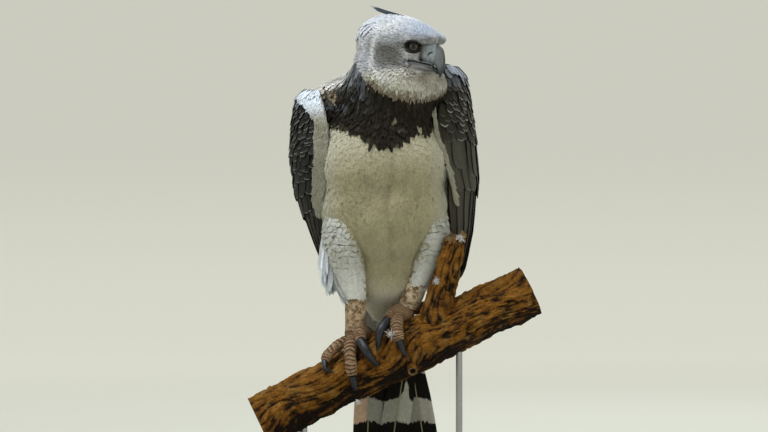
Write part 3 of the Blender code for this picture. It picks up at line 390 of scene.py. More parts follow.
def tube(path, wide, tall, sides, up):
    """Rings along a path: at each point an oval, wide across and tall along up."""
    path = np.asarray(path, float)
    along = unit(np.gradient(path, axis=0))
    up = np.broadcast_to(np.asarray(up, float), path.shape)
    across = unit(np.cross(along, up))
    lift = np.cross(across, along)
    turn = circle(sides)
    wide = np.asarray(wide, float)
    tall = np.asarray(tall, float)
    wide = wide[..., None] if wide.ndim == 1 else wide
    tall = tall[..., None] if tall.ndim == 1 else tall
    return (path[:, None] + across[:, None] * (wide * np.cos(turn))[..., None]
            + lift[:, None] * (tall * np.sin(turn))[..., None])


def ball_ways(angle, turn):
    """Unit ways by the angle from the first axis and the turn round it."""
    return np.stack([np.cos(angle) + 0 * turn, np.sin(angle) * np.cos(turn), np.sin(angle) * np.sin(turn)],
                    axis=-1)


def capped_map(u, v):
    """A map for capped rings: every ring point's u and v, then a place for the middle of each end."""
    return np.concatenate([np.stack([u, v], axis=-1).reshape(-1, 2), [[0.5, 0.0], [0.5, 1.0]]])


def join_shapes(shapes):
    """Several (points, faces) shapes as one list of points and faces."""
    points, faces, start = [], [], 0
    for p, f in shapes:
        points.append(p)
        faces += [k + start for k in f]
        start += len(p)
    return np.concatenate(points), faces


# Materials


class Finish:
    """A material in the making: a Principled shader, with nodes added and joined one by one."""

    def __init__(self, name, colour, **sockets):
        self.material = bpy.data.materials.new(name)
        self.material.use_nodes = True
        self.nodes = self.material.node_tree.nodes
        self.links = self.material.node_tree.links
        self.shader = self.nodes["Principled BSDF"]
        self.shader.inputs["Base Color"].default_value = (*colour, 1.0)
        for key, value in sockets.items():
            self.shader.inputs[key.replace("_", " ")].default_value = value

    def add(self, kind, inputs=None, **settings):
        node = self.nodes.new("ShaderNode" + kind)
        for key, value in settings.items():
            setattr(node, key, value)
        for key, value in (inputs or {}).items():
            if isinstance(value, bpy.types.NodeSocket):
                self.links.new(value, node.inputs[key])
            else:
                node.inputs[key].default_value = value
        return node

    def place(self):
        return self.add("TexCoord").outputs["Object"]

    def map(self, name="Vane"):
        return self.add("UVMap", uv_map=name).outputs["UV"]

    def tint(self, name="Tint"):
        return self.add("Attribute", attribute_name=name).outputs["Color"]

    def number(self, name):
        return self.add("Attribute", attribute_name=name).outputs["Fac"]

    def part(self, vector, axis):
        """One coordinate of a vector."""
        return self.add("SeparateXYZ", {"Vector": vector}).outputs[axis]

    def vector(self, x, y=0.0, z=0.0):
        return self.add("CombineXYZ", {"X": x, "Y": y, "Z": z}).outputs["Vector"]

    def stretched(self, vector, scale, turn=(0.0, 0.0, 0.0)):
        return self.add("Mapping", {"Vector": vector, "Scale": scale, "Rotation": turn}).outputs["Vector"]

    def noise(self, vector, scale, detail=3.0, roughness=0.55, distortion=0.0):
        inputs = {"Vector": vector, "Scale": scale, "Detail": detail, "Roughness": roughness,
                  "Distortion": distortion}
        return self.add("TexNoise", inputs).outputs["Fac"]

    def wave(self, vector, scale, distortion=0.0, detail=0.0, direction="X"):
        inputs = {"Vector": vector, "Scale": scale, "Distortion": distortion, "Detail": detail}
        return self.add("TexWave", inputs, bands_direction=direction).outputs["Fac"]

    def cells(self, vector, scale, feature="DISTANCE_TO_EDGE"):
        return self.add("TexVoronoi", {"Vector": vector, "Scale": scale}, feature=feature).outputs["Distance"]

    def sum(self, kind, a, b=0.0, c=None, clamp=False):
        node = self.add("Math", {0: a, 1: b} if c is None else {0: a, 1: b, 2: c}, operation=kind)
        node.use_clamp = clamp
        return node.outputs[0]

    def span(self, value, low, high, to_low=0.0, to_high=1.0, smooth=True):
        inputs = {"Value": value, "From Min": low, "From Max": high, "To Min": to_low, "To Max": to_high}
        kind = "SMOOTHSTEP" if smooth else "LINEAR"
        return self.add("MapRange", inputs, interpolation_type=kind).outputs["Result"]

    def blend(self, share, a, b, kind="MIX"):
        node = self.add("Mix", data_type="RGBA", blend_type=kind)
        for index, value in ((0, share), (6, a), (7, b)):
            if isinstance(value, bpy.types.NodeSocket):
                self.links.new(value, node.inputs[index])
            elif index == 0:
                node.inputs[0].default_value = value
            else:
                node.inputs[index].default_value = (*value, 1.0)
        return node.outputs[2]

    def scaled(self, colour, share):
        """The colour times a number."""
        grey = self.vector(share, share, share)
        return self.add("VectorMath", {0: colour, 1: grey}, operation="MULTIPLY").outputs["Vector"]

    def colour(self, socket):
        self.links.new(socket, self.shader.inputs["Base Color"])

    def rough(self, socket):
        self.links.new(socket, self.shader.inputs["Roughness"])

    def bump(self, height, distance, strength=1.0, under=None):
        inputs = {"Height": height, "Distance": distance, "Strength": strength}
        if under is not None:
            inputs["Normal"] = under
        normal = self.add("Bump", inputs).outputs["Normal"]
        self.links.new(normal, self.shader.inputs["Normal"])
        return normal


def barbs(finish, slant=9.0, count=26.0):
    """Fine lines that run out and forward from the shaft of a vane, from 0 to 1, and the shares along the
    vane and aside from its shaft."""
    along = finish.part(finish.map(), "Y")
    aside = finish.sum("ABSOLUTE", finish.sum("SUBTRACT", finish.part(finish.map(), "X"), 0.5))
    run = finish.sum("SUBTRACT", finish.sum("MULTIPLY", along, count), finish.sum("MULTIPLY", aside, slant))
    return finish.wave(finish.vector(run), 0.5, 0.6, 1.0), along, aside


def plumage(name, roughness=0.82, streak=0.16, barb=0.10, sheen=0.25):
    """Soft small feathers: the feather's own tint, with faint barbs and cloudy grain."""
    finish = Finish(name, (0.5, 0.5, 0.5), Roughness=roughness, Sheen_Weight=sheen, Sheen_Roughness=0.5,
                    Specular_IOR_Level=0.25)
    lines, _, _ = barbs(finish)
    cloud = finish.noise(finish.place(), 240.0, 4.0, 0.7)
    clouds = finish.span(cloud, 0.25, 0.75, 1.0 - streak - barb / 2, 1.0 + streak - barb / 2)
    finish.colour(finish.scaled(finish.tint(), finish.sum("MULTIPLY_ADD", lines, barb, clouds)))
    finish.bump(finish.sum("MULTIPLY_ADD", lines, 0.6, cloud), 0.0006, 0.5)
    return finish.material


def barred_plumage():
    """Pale feathers crossed by thin wavy dark lines in height, as strong as their own number Edge says."""
    finish = Finish("barred_plumage", (0.5, 0.5, 0.5), Roughness=0.85, Specular_IOR_Level=0.2)
    lines, _, _ = barbs(finish)
    cloud = finish.noise(finish.place(), 240.0, 4.0, 0.7)
    sway = finish.noise(finish.stretched(finish.place(), (42.0, 42.0, 30.0)), 1.0, 3.0, 0.6)
    height = finish.sum("MULTIPLY_ADD", sway, 0.022, finish.part(finish.place(), "Z"))
    part = finish.sum("FRACT", finish.sum("MULTIPLY", height, 84.0))
    far = finish.sum("ABSOLUTE", finish.sum("SUBTRACT", part, 0.5))
    broken = finish.span(finish.noise(finish.place(), 60.0, 2.0), 0.40, 0.56)
    bar = finish.sum("MULTIPLY", finish.span(far, 0.05, 0.13, 0.85, 0.0),
                     finish.sum("MULTIPLY", broken, finish.number("Edge")))
    share = finish.sum("MULTIPLY_ADD", lines, 0.08, finish.span(cloud, 0.25, 0.75, 0.82, 1.10))
    finish.colour(finish.blend(bar, finish.scaled(finish.tint(), share), (0.075, 0.075, 0.075)))
    finish.bump(finish.sum("MULTIPLY_ADD", lines, 0.6, cloud), 0.0006, 0.5)
    return finish.material


def tipped_plumage(name, tip, low, high, roughness=0.7, ragged=0.05, shaft=0.0, gloss=0.35):
    """Feathers with a line across the vane near its tip, as strong as their own number Edge says."""
    finish = Finish(name, (0.1, 0.1, 0.1), Roughness=roughness, Specular_IOR_Level=gloss)
    lines, along, aside = barbs(finish, slant=12.0, count=60.0)
    bow = finish.sum("MULTIPLY_ADD", finish.sum("MULTIPLY", aside, aside), 0.42, along)
    wander = finish.sum("MULTIPLY_ADD", finish.noise(finish.place(), 300.0, 2.0), ragged * 2, bow)
    wander = finish.sum("SUBTRACT", wander, ragged)
    rise = finish.span(wander, low - 0.02, low + 0.02)
    fall = finish.span(wander, high - 0.02, high + 0.02, 1.0, 0.0)
    mark = finish.sum("MULTIPLY", finish.sum("MULTIPLY", rise, fall), finish.number("Edge"))
    cloud = finish.noise(finish.place(), 160.0, 4.0, 0.7)
    share = finish.sum("MULTIPLY_ADD", lines, 0.22, finish.span(cloud, 0.25, 0.75, 0.72, 1.12))
    base = finish.scaled(finish.tint(), share)
    if shaft:
        line = finish.span(aside, 0.012, 0.03, shaft, 0.0)
        base = finish.blend(line, base, (0.30, 0.29, 0.27))
    finish.colour(finish.blend(mark, base, tip))
    finish.rough(finish.span(cloud, 0.2, 0.8, roughness - 0.12, roughness + 0.1))
    finish.bump(finish.sum("MULTIPLY_ADD", lines, 0.8, cloud), 0.0005, 0.5)
    return finish.material


# The body's shape, as in the solids


def head_place(along, aside, height):
    """World point of a place in the head: along the bill, to its left, and the height."""
    s, c = math.sin(HEAD_YAW), math.cos(HEAD_YAW)
    along, aside, height = np.broadcast_arrays(*(np.asarray(v, float) for v in (along, aside, height)))
    return np.stack([HEAD_PLACE[0] + s * along + c * aside, HEAD_PLACE[1] - c * along + s * aside, height],
                    axis=-1)


def in_head(points):
    """The inverse of head_place: along, aside and height of world points."""
    s, c = math.sin(HEAD_YAW), math.cos(HEAD_YAW)
    x, y = points[..., 0] - HEAD_PLACE[0], points[..., 1] - HEAD_PLACE[1]
    return s * x - c * y, c * x + s * y, points[..., 2]


def head_axes(pitch_down, turn_left):
    """Unit axes in the world of a form in the head: forward, left and up."""
    yaw = HEAD_YAW + math.radians(turn_left)
    pitch = math.radians(pitch_down)
    level = np.array([math.sin(yaw), -math.cos(yaw), 0.0])
    left = np.array([math.cos(yaw), math.sin(yaw), 0.0])
    up = np.array([0.0, 0.0, 1.0])
    forward = level * math.cos(pitch) - up * math.sin(pitch)
    return np.array([forward, left, np.cross(forward, left)])


def mass_table():
    """Middles, matrices to the unit ball, and mean sizes of all the masses."""
    middles, matrices, sizes = [], [], []
    for middle, half in TORSO_MASSES:
        middles.append(middle)
        matrices.append(np.diag(1.0 / np.array(half)))
        sizes.append(np.prod(half) ** (1 / 3))
    for middle, half, pitch, turn in HEAD_MASSES:
        middles.append(head_place(*middle))
        matrices.append(head_axes(pitch, turn) / np.array(half)[:, None])
        sizes.append(np.prod(half) ** (1 / 3))
    return np.array(middles), np.array(matrices), np.array(sizes)


MASSES = mass_table()


def depth_outside(points, first=0, last=None):
    """How far points lie outside the masses: the least of each mass's own distance, softly blended."""
    middles, matrices, sizes = (table[first:last] for table in MASSES)
    offsets = points[..., None, :] - middles
    scaled = np.einsum("...mi,mji->...mj", offsets, matrices)
    each = (np.linalg.norm(scaled, axis=-1) - 1.0) * sizes
    least = each.min(axis=-1, keepdims=True)
    return (least - BLEND * np.log(np.exp((least - each) / BLEND).sum(axis=-1, keepdims=True)))[..., 0]


def cast(starts, ways, reach, first_mass=0, steps=40):
    """First points where rays from inside the body leave it, found by halving the last step."""
    starts = np.broadcast_to(starts, ways.shape)
    marks = np.linspace(0.0, reach, steps)
    outside = np.stack([depth_outside(starts + ways * m, first_mass) > 0 for m in marks])
    found = outside.any(axis=0)
    first = np.where(found, outside.argmax(axis=0), steps - 1)
    high = marks[first]
    low = np.maximum(high - reach / (steps - 1), 0.0)
    for _ in range(14):
        middle = (low + high) / 2
        out = depth_outside(starts + ways * middle[..., None], first_mass) > 0
        high = np.where(out, middle, high)
        low = np.where(out, low, middle)
    high = np.where(found, high, reach)
    return starts + ways * high[..., None]


class Hide:
    """A patch of the bird's outside as a net of points, and how to find a place on it.

    find turns world points into a row share and a column share of the net.
    """

    def __init__(self, points, find, closed=True):
        self.points, self.find, self.closed = points, find, closed
        if closed:
            across = np.roll(points, -1, axis=1) - np.roll(points, 1, axis=1)
        else:
            across = np.gradient(points, axis=1)
        self.normals = unit(np.cross(across, np.gradient(points, axis=0)))
        if (self.normals * (points - points.mean(axis=1, keepdims=True))).sum() < 0:
            self.normals = -self.normals

    def at(self, row, column):
        """Points and outward normals at shares of the rows and columns, blended from the four nearest."""
        rows, columns = self.points.shape[:2]
        r = np.clip(row, 0.0, 1.0) * (rows - 1)
        low = np.minimum(r.astype(int), rows - 2)
        if self.closed:
            c = np.mod(column, 1.0) * columns
            left = c.astype(int) % columns
            right = (left + 1) % columns
            part = (c - np.floor(c))[..., None]
        else:
            c = np.clip(column, 0.0, 1.0) * (columns - 1)
            left = np.minimum(c.astype(int), columns - 2)
            right = left + 1
            part = (c - left)[..., None]
        fall = (r - low)[..., None]
        found = []
        for table in (self.points, self.normals):
            over = table[low, left] * (1 - part) + table[low, right] * part
            under = table[low + 1, left] * (1 - part) + table[low + 1, right] * part
            found.append(over * (1 - fall) + under * fall)
        return found[0], unit(found[1])

    def under(self, points):
        """The nearest places of the net to world points, by the hide's own shares."""
        return self.at(*self.find(points))

    def rows_of_roots(self, pitch, rng, first=0.0, last=1.0, jitter=0.32, squeeze=0.80):
        """Staggered rows of roots, pitch metres apart, as row and column shares.

        The pitch is a function of the row share. Each row holds its own length over the pitch.
        """
        lengths = np.linalg.norm(np.diff(self.points, axis=0), axis=-1).mean(axis=1).sum()
        row, rows, columns, k = first, [], [], 0
        while row < last:
            step = pitch(row)
            line, _ = self.at(np.full(181, row), np.linspace(0.0, 1.0 if self.closed else 0.9999, 181))
            run = np.concatenate([[0.0], np.cumsum(np.linalg.norm(np.diff(line, axis=0), axis=1))])
            number = max(3, int(run[-1] / step))
            marks = ((np.arange(number) + 0.5 * (k % 2) + rng.uniform(-jitter, jitter, number)) / number
                     * run[-1])
            columns.append(np.interp(np.mod(marks, run[-1]), run, np.linspace(0.0, 1.0, 181)))
            rows.append(row + rng.uniform(-jitter, jitter, number) * step * squeeze / lengths)
            row += step * squeeze / lengths
            k += 1
        return np.clip(np.concatenate(rows), 0.0, 1.0), np.concatenate(columns)


def spine_at(height):
    return np.stack([np.interp(height, SPINE[:, 0], SPINE[:, k]) for k in (1, 2)]
                    + [np.asarray(height, float)], axis=-1)


def breast_relief(points):
    """How far the plumage of the front stands out of the plain body: a shallow cleft down the middle, and
    soft uneven puffs on both sides of it."""
    x, z = points[..., 0], points[..., 2]
    front = ease(0.02 - points[..., 1], 0.0, 0.05)
    cleft = bell(x - 0.012 - 0.006 * np.sin(z * 30), 0.010) * ease(z, 0.44, 0.52) * ease(0.70 - z, 0, 0.04)
    puffs = grain(points * [1.0, 1.0, 0.7], 0.034, 71, 2)
    return front * (-0.0050 * cleft + 0.0050 * puffs)


def flank_fill(points):
    """How far the loose flank feathers swell the body sideways between the wings: a bell in height."""
    x, y, z = points[..., 0], points[..., 1], points[..., 2]
    bell = ease(z, 0.490, 0.580) * ease(0.745 - z, 0.0, 0.120)
    return 0.0105 * bell * ease(np.abs(x - 0.01), 0.045, 0.100) * ease(0.060 - y, 0.0, 0.05)


def body_hide():
    """Level rings round the spine, each point where a level ray leaves the body."""
    heights = np.linspace(*BODY_HEIGHTS, BODY_NET[0])
    turn = circle(BODY_NET[1])
    ways = np.stack([np.cos(turn), np.sin(turn), 0 * turn], axis=-1)
    rings = cast(spine_at(heights)[:, None], np.broadcast_to(ways, (*BODY_NET, 3)), BODY_REACH)
    rings = rings + ways * (breast_relief(rings) + flank_fill(rings))[..., None]

    def find(points):
        middle = spine_at(points[..., 2])
        angle = np.arctan2(points[..., 1] - middle[..., 1], points[..., 0] - middle[..., 0])
        return (points[..., 2] - heights[0]) / (heights[-1] - heights[0]), np.mod(angle / (2 * math.pi), 1.0)

    return Hide(rings, find)


def face_relief(points):
    """How far the face stands out of the plain head: a hollow under a level brow line, deepest at the eye and
    running on to the bill, a slope before the bill, a ridge on the brow, a low rim round the back of the
    cheek, a socket round the root of the bill, and soft puffs on the throat."""
    along, aside, height = in_head(points)
    front = ease(along, 0.030, 0.056)
    under = ease(BROW_LINE + 0.0010 - height, 0.0, 0.0045)
    hollow = bell(np.maximum(BROW_LINE - 0.006 - height, 0.0), 0.0125)
    side = ease(np.abs(aside), 0.006, 0.022)
    ridge = (bell(height - BROW_LINE - 0.0055, 0.0045) * ease(along, 0.045, 0.070)
             * ease(0.098 - along, 0.0, 0.01))
    from_cheek = np.hypot(along - CHEEK[0], height - CHEEK[1])
    rim = bell(from_cheek - 0.056, 0.006) * ease(0.050 - along, 0.0, 0.02) * ease(height, 0.80, 0.84)
    blunt = bell(height - 0.9085, 0.0050) * ease(along, 0.096, 0.106)
    start = np.interp(height, (0.858, 0.868, 0.890), (0.066, 0.0790, 0.0835))
    socket = (ease(along, start, start + 0.010) * ease(height, 0.8460, 0.8505)
              * ease(BROW_LINE + 0.001 - height, 0.0, 0.003))
    puffs = grain(points, 0.020, 73, 2) * ease(0.850 - height, 0.0, 0.02)
    slope = ease(along, 0.062, 0.079) * ease(height, 0.864, 0.872) * ease(BROW_LINE - height, 0.0, 0.004)
    return (-0.0062 * front * under * hollow * side + 0.0016 * ridge * side + 0.0018 * rim - 0.0045 * blunt
            - 0.0260 * socket - 0.0050 * slope * side + 0.0022 * puffs)


def head_hide():
    """Rays from the middle of the head in even steps from the bill's side to the nape."""
    forward, left, up = head_axes(HEAD_TILT, 0)
    angle = np.linspace(*HEAD_ENDS, HEAD_NET[0])[:, None] * math.pi
    turn = circle(HEAD_NET[1])[None]
    ways = (
        forward * np.cos(angle)[..., None]
        + (left * np.cos(turn)[..., None] + up * np.sin(turn)[..., None]) * np.sin(angle)[..., None]
    )
    middle = head_place(*HEAD_MIDDLE)
    rings = cast(middle, ways, HEAD_REACH)
    rings = rings + unit(rings - middle) * face_relief(rings)[..., None]

    def find(points):
        way = unit(points - middle)
        bend = np.arccos(np.clip(way @ forward, -1, 1)) / math.pi
        round_share = np.arctan2(way @ up, way @ left) / (2 * math.pi)
        return (bend - HEAD_ENDS[0]) / (HEAD_ENDS[1] - HEAD_ENDS[0]), np.mod(round_share, 1.0)

    return Hide(rings, find)


def thigh_hide(side):
    """Level ovals through the thigh's stations."""
    values = smooth_line(THIGHS[side], THIGH_NET[0])
    turn = circle(THIGH_NET[1])
    offsets = [values[:, 3:4] * np.cos(turn), values[:, 4:5] * np.sin(turn), np.zeros(THIGH_NET)]
    offsets = np.stack(offsets, axis=-1)
    shares = np.linspace(0.0, 1.0, THIGH_NET[0])

    def find(points):
        row = np.interp(-points[..., 2], -values[:, 2], shares)
        x, y, wide, deep = (np.interp(row, shares, values[:, k]) for k in (0, 1, 3, 4))
        angle = np.arctan2((points[..., 1] - y) / deep, (points[..., 0] - x) / wide)
        return row, np.mod(angle / (2 * math.pi), 1.0)

    return Hide(values[:, None, :3] + offsets, find)


def wing_values(side, down):
    """Middle x, half width, middle y, half depth and the first and last angle of the wing at a share down."""
    middle_x, half_width, middle_y, half_depth, first, inner = (
        np.interp(down, WINGS[side][:, 0], WINGS[side][:, k]) for k in range(1, 7)
    )
    first = np.radians(first)
    last = np.arccos(np.maximum((inner - middle_x) / half_width, -0.96))
    return middle_x, half_width, middle_y, half_depth, first, last


def wing_height(side, down):
    return WING_TOP[side] + (WING_TIP[side] - WING_TOP[side]) * down


def wing_share(side, height):
    """The inverse of wing_height: the share down the wing."""
    return (height - WING_TOP[side]) / (WING_TIP[side] - WING_TOP[side])


def on_net(down, across):
    """Row and column share on the wing's net of a place down and across the wing."""
    return down / WING_END, (across + WING_FORE) / (1 + WING_FORE)


def wing_point(side, across, down):
    """A point of the wing's outer face: across from its front edge to the back, down from top to tip."""
    across, down = np.broadcast_arrays(np.asarray(across, float), np.asarray(down, float))
    middle_x, half_width, middle_y, half_depth, first, last = wing_values(side, down)
    angle = first + (last - first) * across
    x = SIDES[side] * (middle_x + half_width * np.cos(angle))
    y = middle_y + half_depth * np.sin(angle)
    return np.stack([x, y, wing_height(side, down)], axis=-1)


def wing_hide(side):
    """The wing's outer face as a net, sunk by the core's depth, rows from the shoulder to past the tip."""
    down = np.linspace(0.0, WING_END, WING_NET[0])[:, None]
    across = np.linspace(-WING_FORE, 1.0, WING_NET[1])[None]

    def find(places):
        share = wing_share(side, places[..., 2])
        middle_x, half_width, middle_y, half_depth, first, end = wing_values(side, share)
        x = (places[..., 0] * SIDES[side] - middle_x) / half_width
        angle = np.arctan2((places[..., 1] - middle_y) / half_depth, x)
        return on_net(share, (angle - first) / (end - first))

    hide = Hide(wing_point(side, across, down), find, closed=False)
    hide.points = hide.points - hide.normals * CORE_DEPTH
    return hide


HIDES = {"body": body_hide(), "head": head_hide()}
for _side in SIDES:
    HIDES["thigh_" + _side] = thigh_hide(_side)
    HIDES["wing_" + _side] = wing_hide(_side)


def strip_reach(side, down):
    """How far across the wing its white strip reaches at a share down."""
    strip = WHITE_STRIPS[side]
    return np.interp(down, strip[:, 0], strip[:, 1] + strip[:, 2])


def above_gape(along, height):
    """Height over the line of the mouth."""
    return height - np.interp(along, GAPE_RUN[:, 0], GAPE_RUN[:, 2])


def in_thighs(points):
    """How deep points lie in either thigh, as a share of its half width; more than 1 is outside."""
    least = np.full(points.shape[:-1], 9.0)
    for side in SIDES:
        values = smooth_line(THIGHS[side], 40)
        x, y, wide, deep = (np.interp(-points[..., 2], -values[:, 2], values[:, k]) for k in (0, 1, 3, 4))
        size = np.hypot((points[..., 0] - x) / wide, (points[..., 1] - y) / deep)
        high = values[0, 2] + 0.02
        low = values[-1, 2] - 0.004
        size = np.where((points[..., 2] > high) | (points[..., 2] < low), 9.0, size)
        least = np.minimum(least, size)
    return least


def above_hood(points):
    """Height of points over the lower edge of the hood."""
    along, aside, height = in_head(points)
    return height - np.interp(np.degrees(np.arctan2(aside, along)), HOOD_EDGE[:, 0], HOOD_EDGE[:, 1])


# The colours of the plumage, as named places on the bird


CREAM = (0.360, 0.325, 0.205)
PALE = (0.560, 0.565, 0.520)
ASH = (0.350, 0.362, 0.400)
CHEEK_GREY = (0.082, 0.080, 0.068)
FROST = (0.690, 0.730, 0.810)
BROW_BLUE = (0.440, 0.525, 0.680)
THROAT = (0.640, 0.625, 0.550)
SOOT = (0.0080, 0.0072, 0.0052)
SLATE = (0.034, 0.035, 0.036)
UMBER = (0.026, 0.020, 0.013)
FAWN = (0.330, 0.270, 0.200)
BAND_TIP = (0.020, 0.016, 0.010)
STRIP_SKIN = (0.40, 0.39, 0.33)

# The lower edge of the black band: x, and its height
BAND_EDGE = np.array((
    (-0.130, 0.747), (-0.108, 0.745), (-0.078, 0.737), (-0.044, 0.723), (-0.018, 0.698),
    (0.012, 0.695), (0.030, 0.704), (0.052, 0.717), (0.080, 0.731), (0.104, 0.745), (0.130, 0.748),
))


def body_tint(points):
    """White belly, black breast band and neck, pale shoulder, and a slate mantle down the back, with painted
    shade in the breast's cleft and hollows and painted blue-grey highlights on the black of the neck.
    """
    x, y, z = points[..., 0], points[..., 1], points[..., 2]
    wander = grain(points, 0.022, 3, 2)
    fine = grain(points, 0.008, 5, 2)
    tint = mixed(CREAM, (0.290, 0.265, 0.170), ease(wander, -0.1, 0.9))
    # Painted shade: darker where the breast's relief sinks, in the cleft down the middle and between the
    # puffs.
    cleft_shade = ease(-breast_relief(points), 0.0005, 0.0050)
    tint = mixed(tint, (0.250, 0.225, 0.145), cleft_shade * 0.6)
    tint = mixed(tint, (0.520, 0.500, 0.385), ease(z, 0.63, 0.70) * 0.7)
    tint = mixed(tint, PALE, ease(np.abs(x), 0.075, 0.13) * 0.4)
    stain = blot(x - 0.012, 0.010, z - 0.576, 0.008) + blot(x - 0.008, 0.014, z - 0.405, 0.012)
    tint = mixed(tint, FAWN, np.clip(stain * (0.5 + fine), 0, 0.45))
    tint = mixed(tint, (0.66, 0.63, 0.52), ease(0.450 - z, 0.0, 0.06) * 0.7)
    edge = np.interp(x, BAND_EDGE[:, 0], BAND_EDGE[:, 1])
    band = ease(z + 0.007 * wander + 0.006 * fine, edge - 0.002, edge + 0.002)
    black = mixed((0.012, 0.009, 0.005), (0.034, 0.026, 0.015), ease(fine, 0.0, 0.9))
    # Painted highlights: blue-grey patches on the black at the side of the neck, and a paler blue-grey on the
    # hindneck, where light falls on the dark feathers.
    blue = ease(-x, 0.015, 0.060) * ease(z, 0.758, 0.785) * ease(grain(points, 0.013, 79, 2), 0.05, 0.35)
    black = mixed(black, (0.095, 0.110, 0.140), blue * 0.75)
    black = mixed(black, (0.150, 0.165, 0.190),
                  ease(z, 0.800, 0.825) * ease(-x, 0.025, 0.050) * (0.55 + 0.5 * fine))
    fringe = ease(above_hood(points) + 0.006 * fine, -0.018, -0.004) * (y < 0.0)
    black = mixed(black, (0.125, 0.095, 0.055), fringe * ease(fine, -0.3, 0.4) * 0.8)
    tint = mixed(tint, black, band)
    notch = blot(x - 0.0205 - 0.10 * (z - 0.751), 0.0035, z - 0.752, 0.010)
    notch = notch + blot(x - 0.031, 0.0085, z - 0.733 + 0.3 * (x - 0.031), 0.0050)
    tint = mixed(tint, (0.30, 0.28, 0.20), ease(notch + 0.25 * fine, 0.40, 0.9) * (y < 0))
    brown = blot(x + 0.108, 0.026, z - 0.802, 0.020)
    streak = grain(points * [1.0, 1.0, 0.35], 0.0055, 77, 2)
    tint = mixed(tint, mixed((0.26, 0.20, 0.14), (0.07, 0.05, 0.03), ease(fine, 0.0, 0.5)),
                 ease(brown + 0.85 * streak, 0.45, 0.85))
    slope = 0.8330 + (x + 0.077) * 0.30
    scapular = ease(-x, 0.074, 0.084) * ease(z + 0.005 * fine, slope - 0.014, slope - 0.006)
    tint = mixed(tint, mixed((0.78, 0.75, 0.72), FAWN, ease(fine, 0.2, 0.9)),
                 np.clip(scapular, 0, 1) * ease(0.050 - y, 0, 0.02))
    mantle = ease(y + 0.012 * wander, 0.045, 0.070) * ease(z, 0.400, 0.440)
    return mixed(tint, mixed(SLATE, SOOT, ease(fine, -0.3, 0.6)), mantle)


def head_tint(points):
    """Ash grey, frosted blue-white on crown and brow, browner on the cheek, and cream grey at the throat, with
    painted shade behind the cheek's rim, in a line below the mouth and under the bill.
    """
    along, aside, height = in_head(points)
    wander = grain(points, 0.016, 7, 2)
    fine = grain(points, 0.006, 9, 2)
    tint = mixed(ASH, (0.52, 0.53, 0.55), ease(wander, -0.3, 0.6))
    from_cheek = np.hypot(along - CHEEK[0], height - CHEEK[1])
    from_patch = np.hypot((along - 0.022) / 0.042, (height - 0.8805 + 0.10 * (along - 0.022)) / 0.0270)
    tint = mixed(tint, CHEEK_GREY, np.clip(np.exp(-from_patch**4) * (0.95 + 0.12 * wander), 0, 1))
    # Painted shade: a darker band just behind the pale rim of the cheek.
    tint = mixed(tint, (0.24, 0.25, 0.28),
                 bell(from_cheek - 0.068, 0.006) * ease(0.01 - along, 0.0, 0.02) * 0.5)
    crown = ease(height + 0.004 * wander, 0.912, 0.930)
    tint = mixed(tint, mixed(FROST, BROW_BLUE, ease(along, 0.030, 0.085)), crown * (0.80 + 0.35 * fine))
    under = ease(BROW_LINE + 0.001 - height, 0.0, 0.003) * ease(along, 0.040, 0.062)
    lore = under * ease(height, 0.868, 0.880)
    tint = mixed(tint, (0.430, 0.432, 0.420), lore * (0.80 + 0.35 * fine))
    bristles = (under * ease(height, 0.872, 0.884)
                * ease(grain(points * [1.0, 1.0, 2.0], 0.0035, 87, 2), 0.15, 0.45))
    tint = mixed(tint, (0.120, 0.120, 0.120), bristles * ease(along, 0.070, 0.076) * 0.6)
    low = ease(0.862 - height + 0.10 * (along - 0.03), 0.0, 0.026)
    tint = mixed(tint, mixed(THROAT, (0.400, 0.385, 0.340), ease(wander, -0.2, 0.7)),
                 low * (0.9 + 0.1 * fine))
    # Painted shadow: a dark brown line from the cheek to below the corner of the mouth.
    mouth_shadow = np.interp(along, (0.020, 0.050, 0.072, 0.092), (0.868, 0.8610, 0.8530, 0.8490))
    mouth_shadow = bell(height - mouth_shadow, 0.0045) * ease(along, 0.022, 0.042) * (np.abs(aside) > 0.012)
    tint = mixed(tint, (0.105, 0.090, 0.062), mouth_shadow * 0.72)
    over_gape = above_gape(along, height)
    naked = ease(along, 0.0605, 0.068) * (np.abs(aside) > 0.006)
    strip = naked * ease(over_gape, -0.0115, -0.0095) * ease(0.002 - over_gape, 0.0, 0.002)
    tint = mixed(tint, (0.175, 0.185, 0.195), strip * 0.85)
    tint = mixed(tint, (0.040, 0.040, 0.042),
                 naked * bell(over_gape + 0.0120, 0.0019) * ease(along, 0.068, 0.080) * 0.9)
    # Painted shadow: an olive brown patch under the bill.
    shadow_under_bill = blot(along - 0.090, 0.014, height - 0.834, 0.011)
    tint = mixed(tint, (0.185, 0.155, 0.090), shadow_under_bill * 0.65)
    hem = ease(0.021 - above_hood(points) + 0.012 * fine, 0.0, 0.018)
    tint = mixed(tint, (0.165, 0.125, 0.075), hem * 0.85 * ease(0.845 - height, 0.0, 0.02))
    rim = bell(from_cheek - 0.057, 0.005) * ease(0.050 - along, 0.0, 0.02)
    tint = mixed(tint, (0.66, 0.67, 0.68), rim * 0.7)
    return mixed(tint, (0.34, 0.35, 0.38), ease(-along, 0.035, 0.065) * ease(0.925 - height, 0, 0.02) * 0.5)


def coat_tint(points):
    """The head's colours above the lower edge of the hood, with a ragged line, and the body's below it."""
    over = above_hood(points) + 0.004 * grain(points, 0.009, 27, 2)
    return mixed_arrays(body_tint(points), head_tint(points), ease(over, -0.0015, 0.0015))


def mixed_arrays(a, b, share):
    return a * (1 - share[..., None]) + b * share[..., None]


